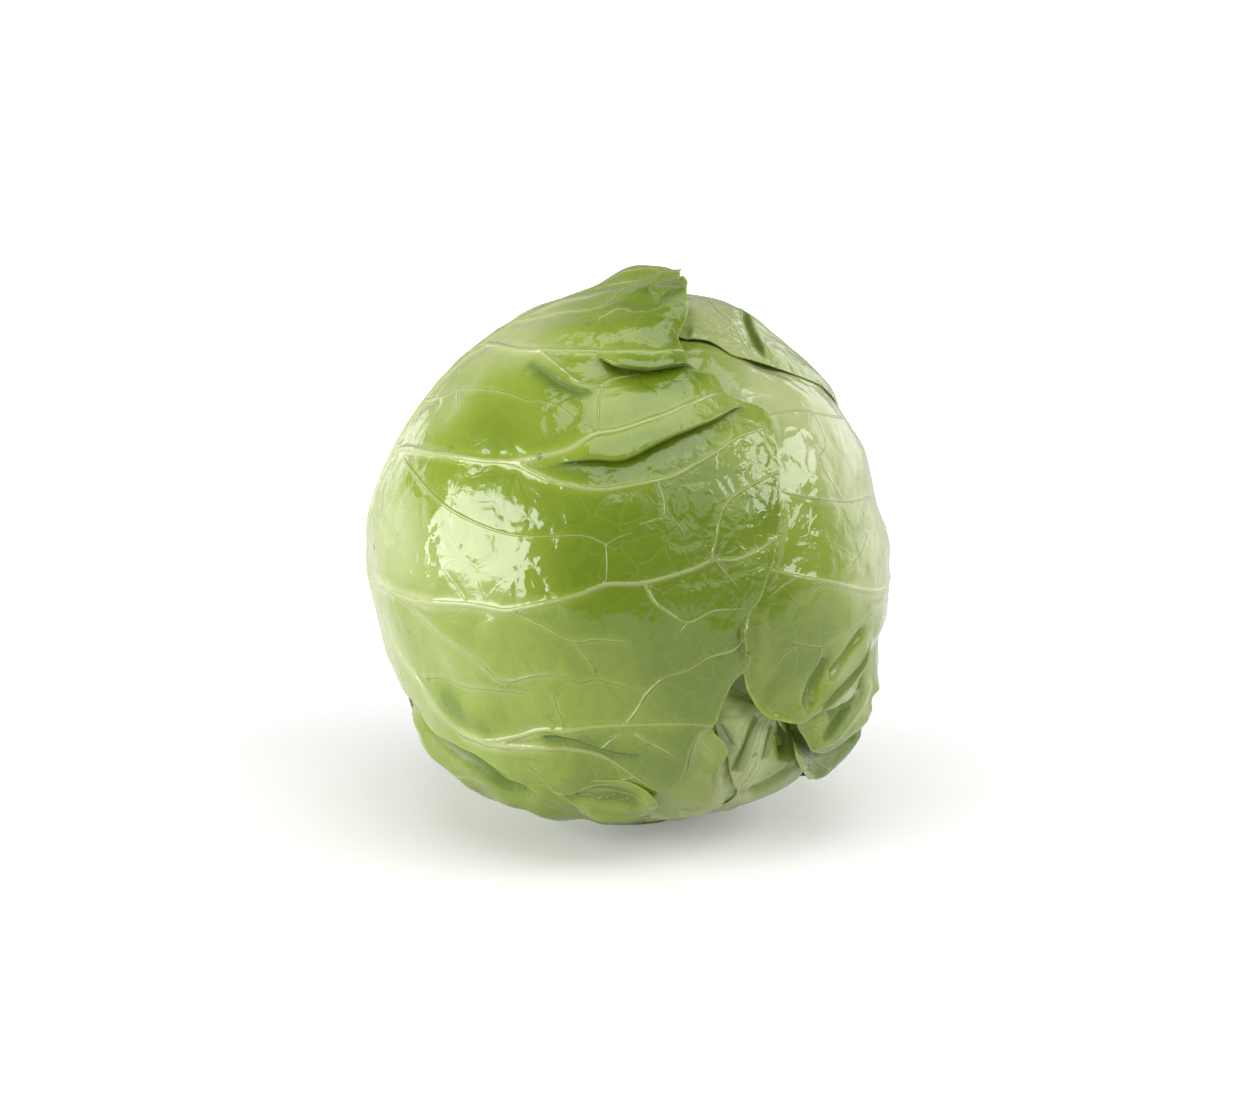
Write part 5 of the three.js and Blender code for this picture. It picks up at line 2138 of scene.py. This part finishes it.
@dataclass
class Studio:
    """The pale floor, the lamps and the camera: lengths in metres, angles in degrees."""

    target: Vector
    camera_elevation: float = 15.0
    camera_distance: float = 1.055
    lens: float = 100.0
    aside: float = -0.00137
    above: float = -0.0005
    softboxes: tuple[Softbox, ...] = (
        Softbox("window_left", -70, 9, 1.3, 1.12, 0.86, 22.0),
        Softbox("veil_left", -118, 4, 1.2, 1.7, 0.3, 2.1),
        Softbox("window_right", 82, 29, 1.3, 0.7, 0.55, 6.0),
        Softbox("veil_right", 136, 10, 1.5, 1.2, 1.0, 4.5),
        Softbox("card_right", 45, 38, 1.4, 1.2, 1.0, 4.6),
        Softbox("overhead", 10, 78, 1.4, 1.3, 1.3, 11.5),
    )
    surroundings: float = 0.2

    def place_camera(self) -> None:
        """Puts the camera in its place and makes it the scene's."""
        tilt = math.radians(self.camera_elevation)
        back = Vector((0, -math.cos(tilt), math.sin(tilt)))
        up = Vector((0, math.sin(tilt), math.cos(tilt)))
        aim = self.target + Vector((self.aside, 0, 0)) + up * self.above
        camera = bpy.data.objects.new("camera", bpy.data.cameras.new("camera"))
        camera.data.lens = self.lens
        camera.data.sensor_width = 36.0
        camera.data.clip_start = 0.05
        camera.location = aim + back * self.camera_distance
        camera.rotation_euler = (-back).to_track_quat("-Z", "Y").to_euler()
        bpy.context.scene.collection.objects.link(camera)
        bpy.context.scene.camera = camera

    def place_lamps(self) -> None:
        """Hangs the softboxes round the head, each facing it."""
        for box in self.softboxes:
            lamp = bpy.data.lights.new(box.name, "AREA")
            lamp.shape = "RECTANGLE"
            lamp.size, lamp.size_y, lamp.energy = box.width, box.height, box.power
            holder = bpy.data.objects.new(box.name, lamp)
            azimuth, elevation = math.radians(box.azimuth), math.radians(box.elevation)
            level = math.cos(elevation)
            way = Vector((level * math.sin(azimuth), -level * math.cos(azimuth), math.sin(elevation)))
            holder.location = self.target + way * box.distance
            turn = (-way).to_track_quat("-Z", "Y").to_matrix().to_4x4()
            holder.matrix_world = Matrix.Translation(holder.location) @ turn
            bpy.context.scene.collection.objects.link(holder)

    def light_surroundings(self) -> None:
        """Makes the surroundings white to the camera and dimmer to the head."""
        scene = bpy.context.scene
        scene.view_settings.view_transform = "Standard"
        world = bpy.data.worlds.new("studio")
        world.use_nodes = True
        scene.world = world
        sh = Shader(world.node_tree)
        background = world.node_tree.nodes["Background"]
        background.inputs["Color"].default_value = (1, 1, 1, 1)
        to_camera = sh.node("ShaderNodeLightPath").outputs["Is Camera Ray"]
        sh.put(background.inputs["Strength"], sh.ramp(to_camera, 0.0, 1.0, self.surroundings, 1.0))

    def lay_floor(self, material: Material) -> Piece:
        """Lays the floor, which runs up into a backdrop behind the head.

        Args:
            material: its material.

        Returns:
            The floor.
        """
        reach, level_to, rise, bend = 3.0, 1.6, 2.2, 1.0
        turns = np.linspace(0.1, math.pi / 2, 14)
        curve = [(level_to + bend * math.sin(t), bend * (1 - math.cos(t))) for t in turns]
        side = [(-reach, 0.0), (level_to, 0.0), *curve, (level_to + bend, rise)]
        points = np.array([(x, y, z) for y, z in side for x in (-reach, reach)])
        k = np.arange(len(side) - 1) * 2
        faces = np.vstack([np.stack([k, k + 1, k + 3], 1), np.stack([k, k + 3, k + 2], 1)])
        floor = mesh_object("floor", points, faces, material)
        return floor

    def build(self, material: Material) -> None:
        """Sets up the whole studio.

        Args:
            material: the floor's material.
        """
        self.place_camera()
        self.place_lamps()
        self.light_surroundings()
        self.lay_floor(material)
        log.info("studio: %d softboxes", len(self.softboxes))


# ---- the whole head


class CabbageHead:
    """The head: its stem, its packed heart and its wrapper leaves."""

    def __init__(self, middle: Array, stem_centre: Array) -> None:
        """Sets where the head stands.

        Args:
            middle: the middle of the head, in mm.
            stem_centre: the middle of the stem's cut face, in mm.
        """
        self.middle = middle
        self.stem_centre = stem_centre
        self.shape = HeadShape()
        self.layering = Layering()
        self.finishes = Finishes()

    def build(self) -> None:
        """Builds every piece of the head."""
        outer = self.finishes.leaf(LeafFinish("wrapper_leaf"))
        inner = self.finishes.leaf(LeafFinish("inner_wrapper_leaf", fresh=(0.22, 0.3, 0.05), roughness=0.2))
        packed = LeafFinish("heart_leaf", fresh=(0.3, 0.36, 0.12), pale=(0.45, 0.48, 0.26), roughness=0.3)
        heart = self.finishes.leaf(packed)
        leaves: list[WrapperLeaf] = []
        for plan in LEAVES_OUTERMOST_FIRST:
            above = [other.layer for other in leaves]
            leaf = WrapperLeaf(plan, above, self.shape, self.layering, self.middle)
            leaf.build(inner if plan.inner else outer)
            leaves.append(leaf)
        lobe = WrapperLeaf(FRONT_LOBE, [], self.shape, self.layering, self.middle)
        lobe.build(outer)
        Heart(self.shape, self.layering, self.middle).build([leaf.layer for leaf in leaves], heart)
        StemStump(self.stem_centre).build(self.finishes.stem())
        WaterDrops().build([*leaves, lobe], self.middle, self.finishes.water())


def main() -> None:
    """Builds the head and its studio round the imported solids."""
    logging.basicConfig(level=logging.INFO, format="%(message)s")
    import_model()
    low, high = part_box("stem_stump")
    stem_centre = np.array([(low.x + high.x) / 2, (low.y + high.y) / 2, low.z]) / MM
    middle = stem_centre + np.array([0, 0, HEAD_HEIGHT])
    head = CabbageHead(middle, stem_centre)
    head.build()
    Studio(Vector(middle * MM)).build(head.finishes.floor())
    bpy.context.view_layer.update()


if __name__ == "__main__":
    main()
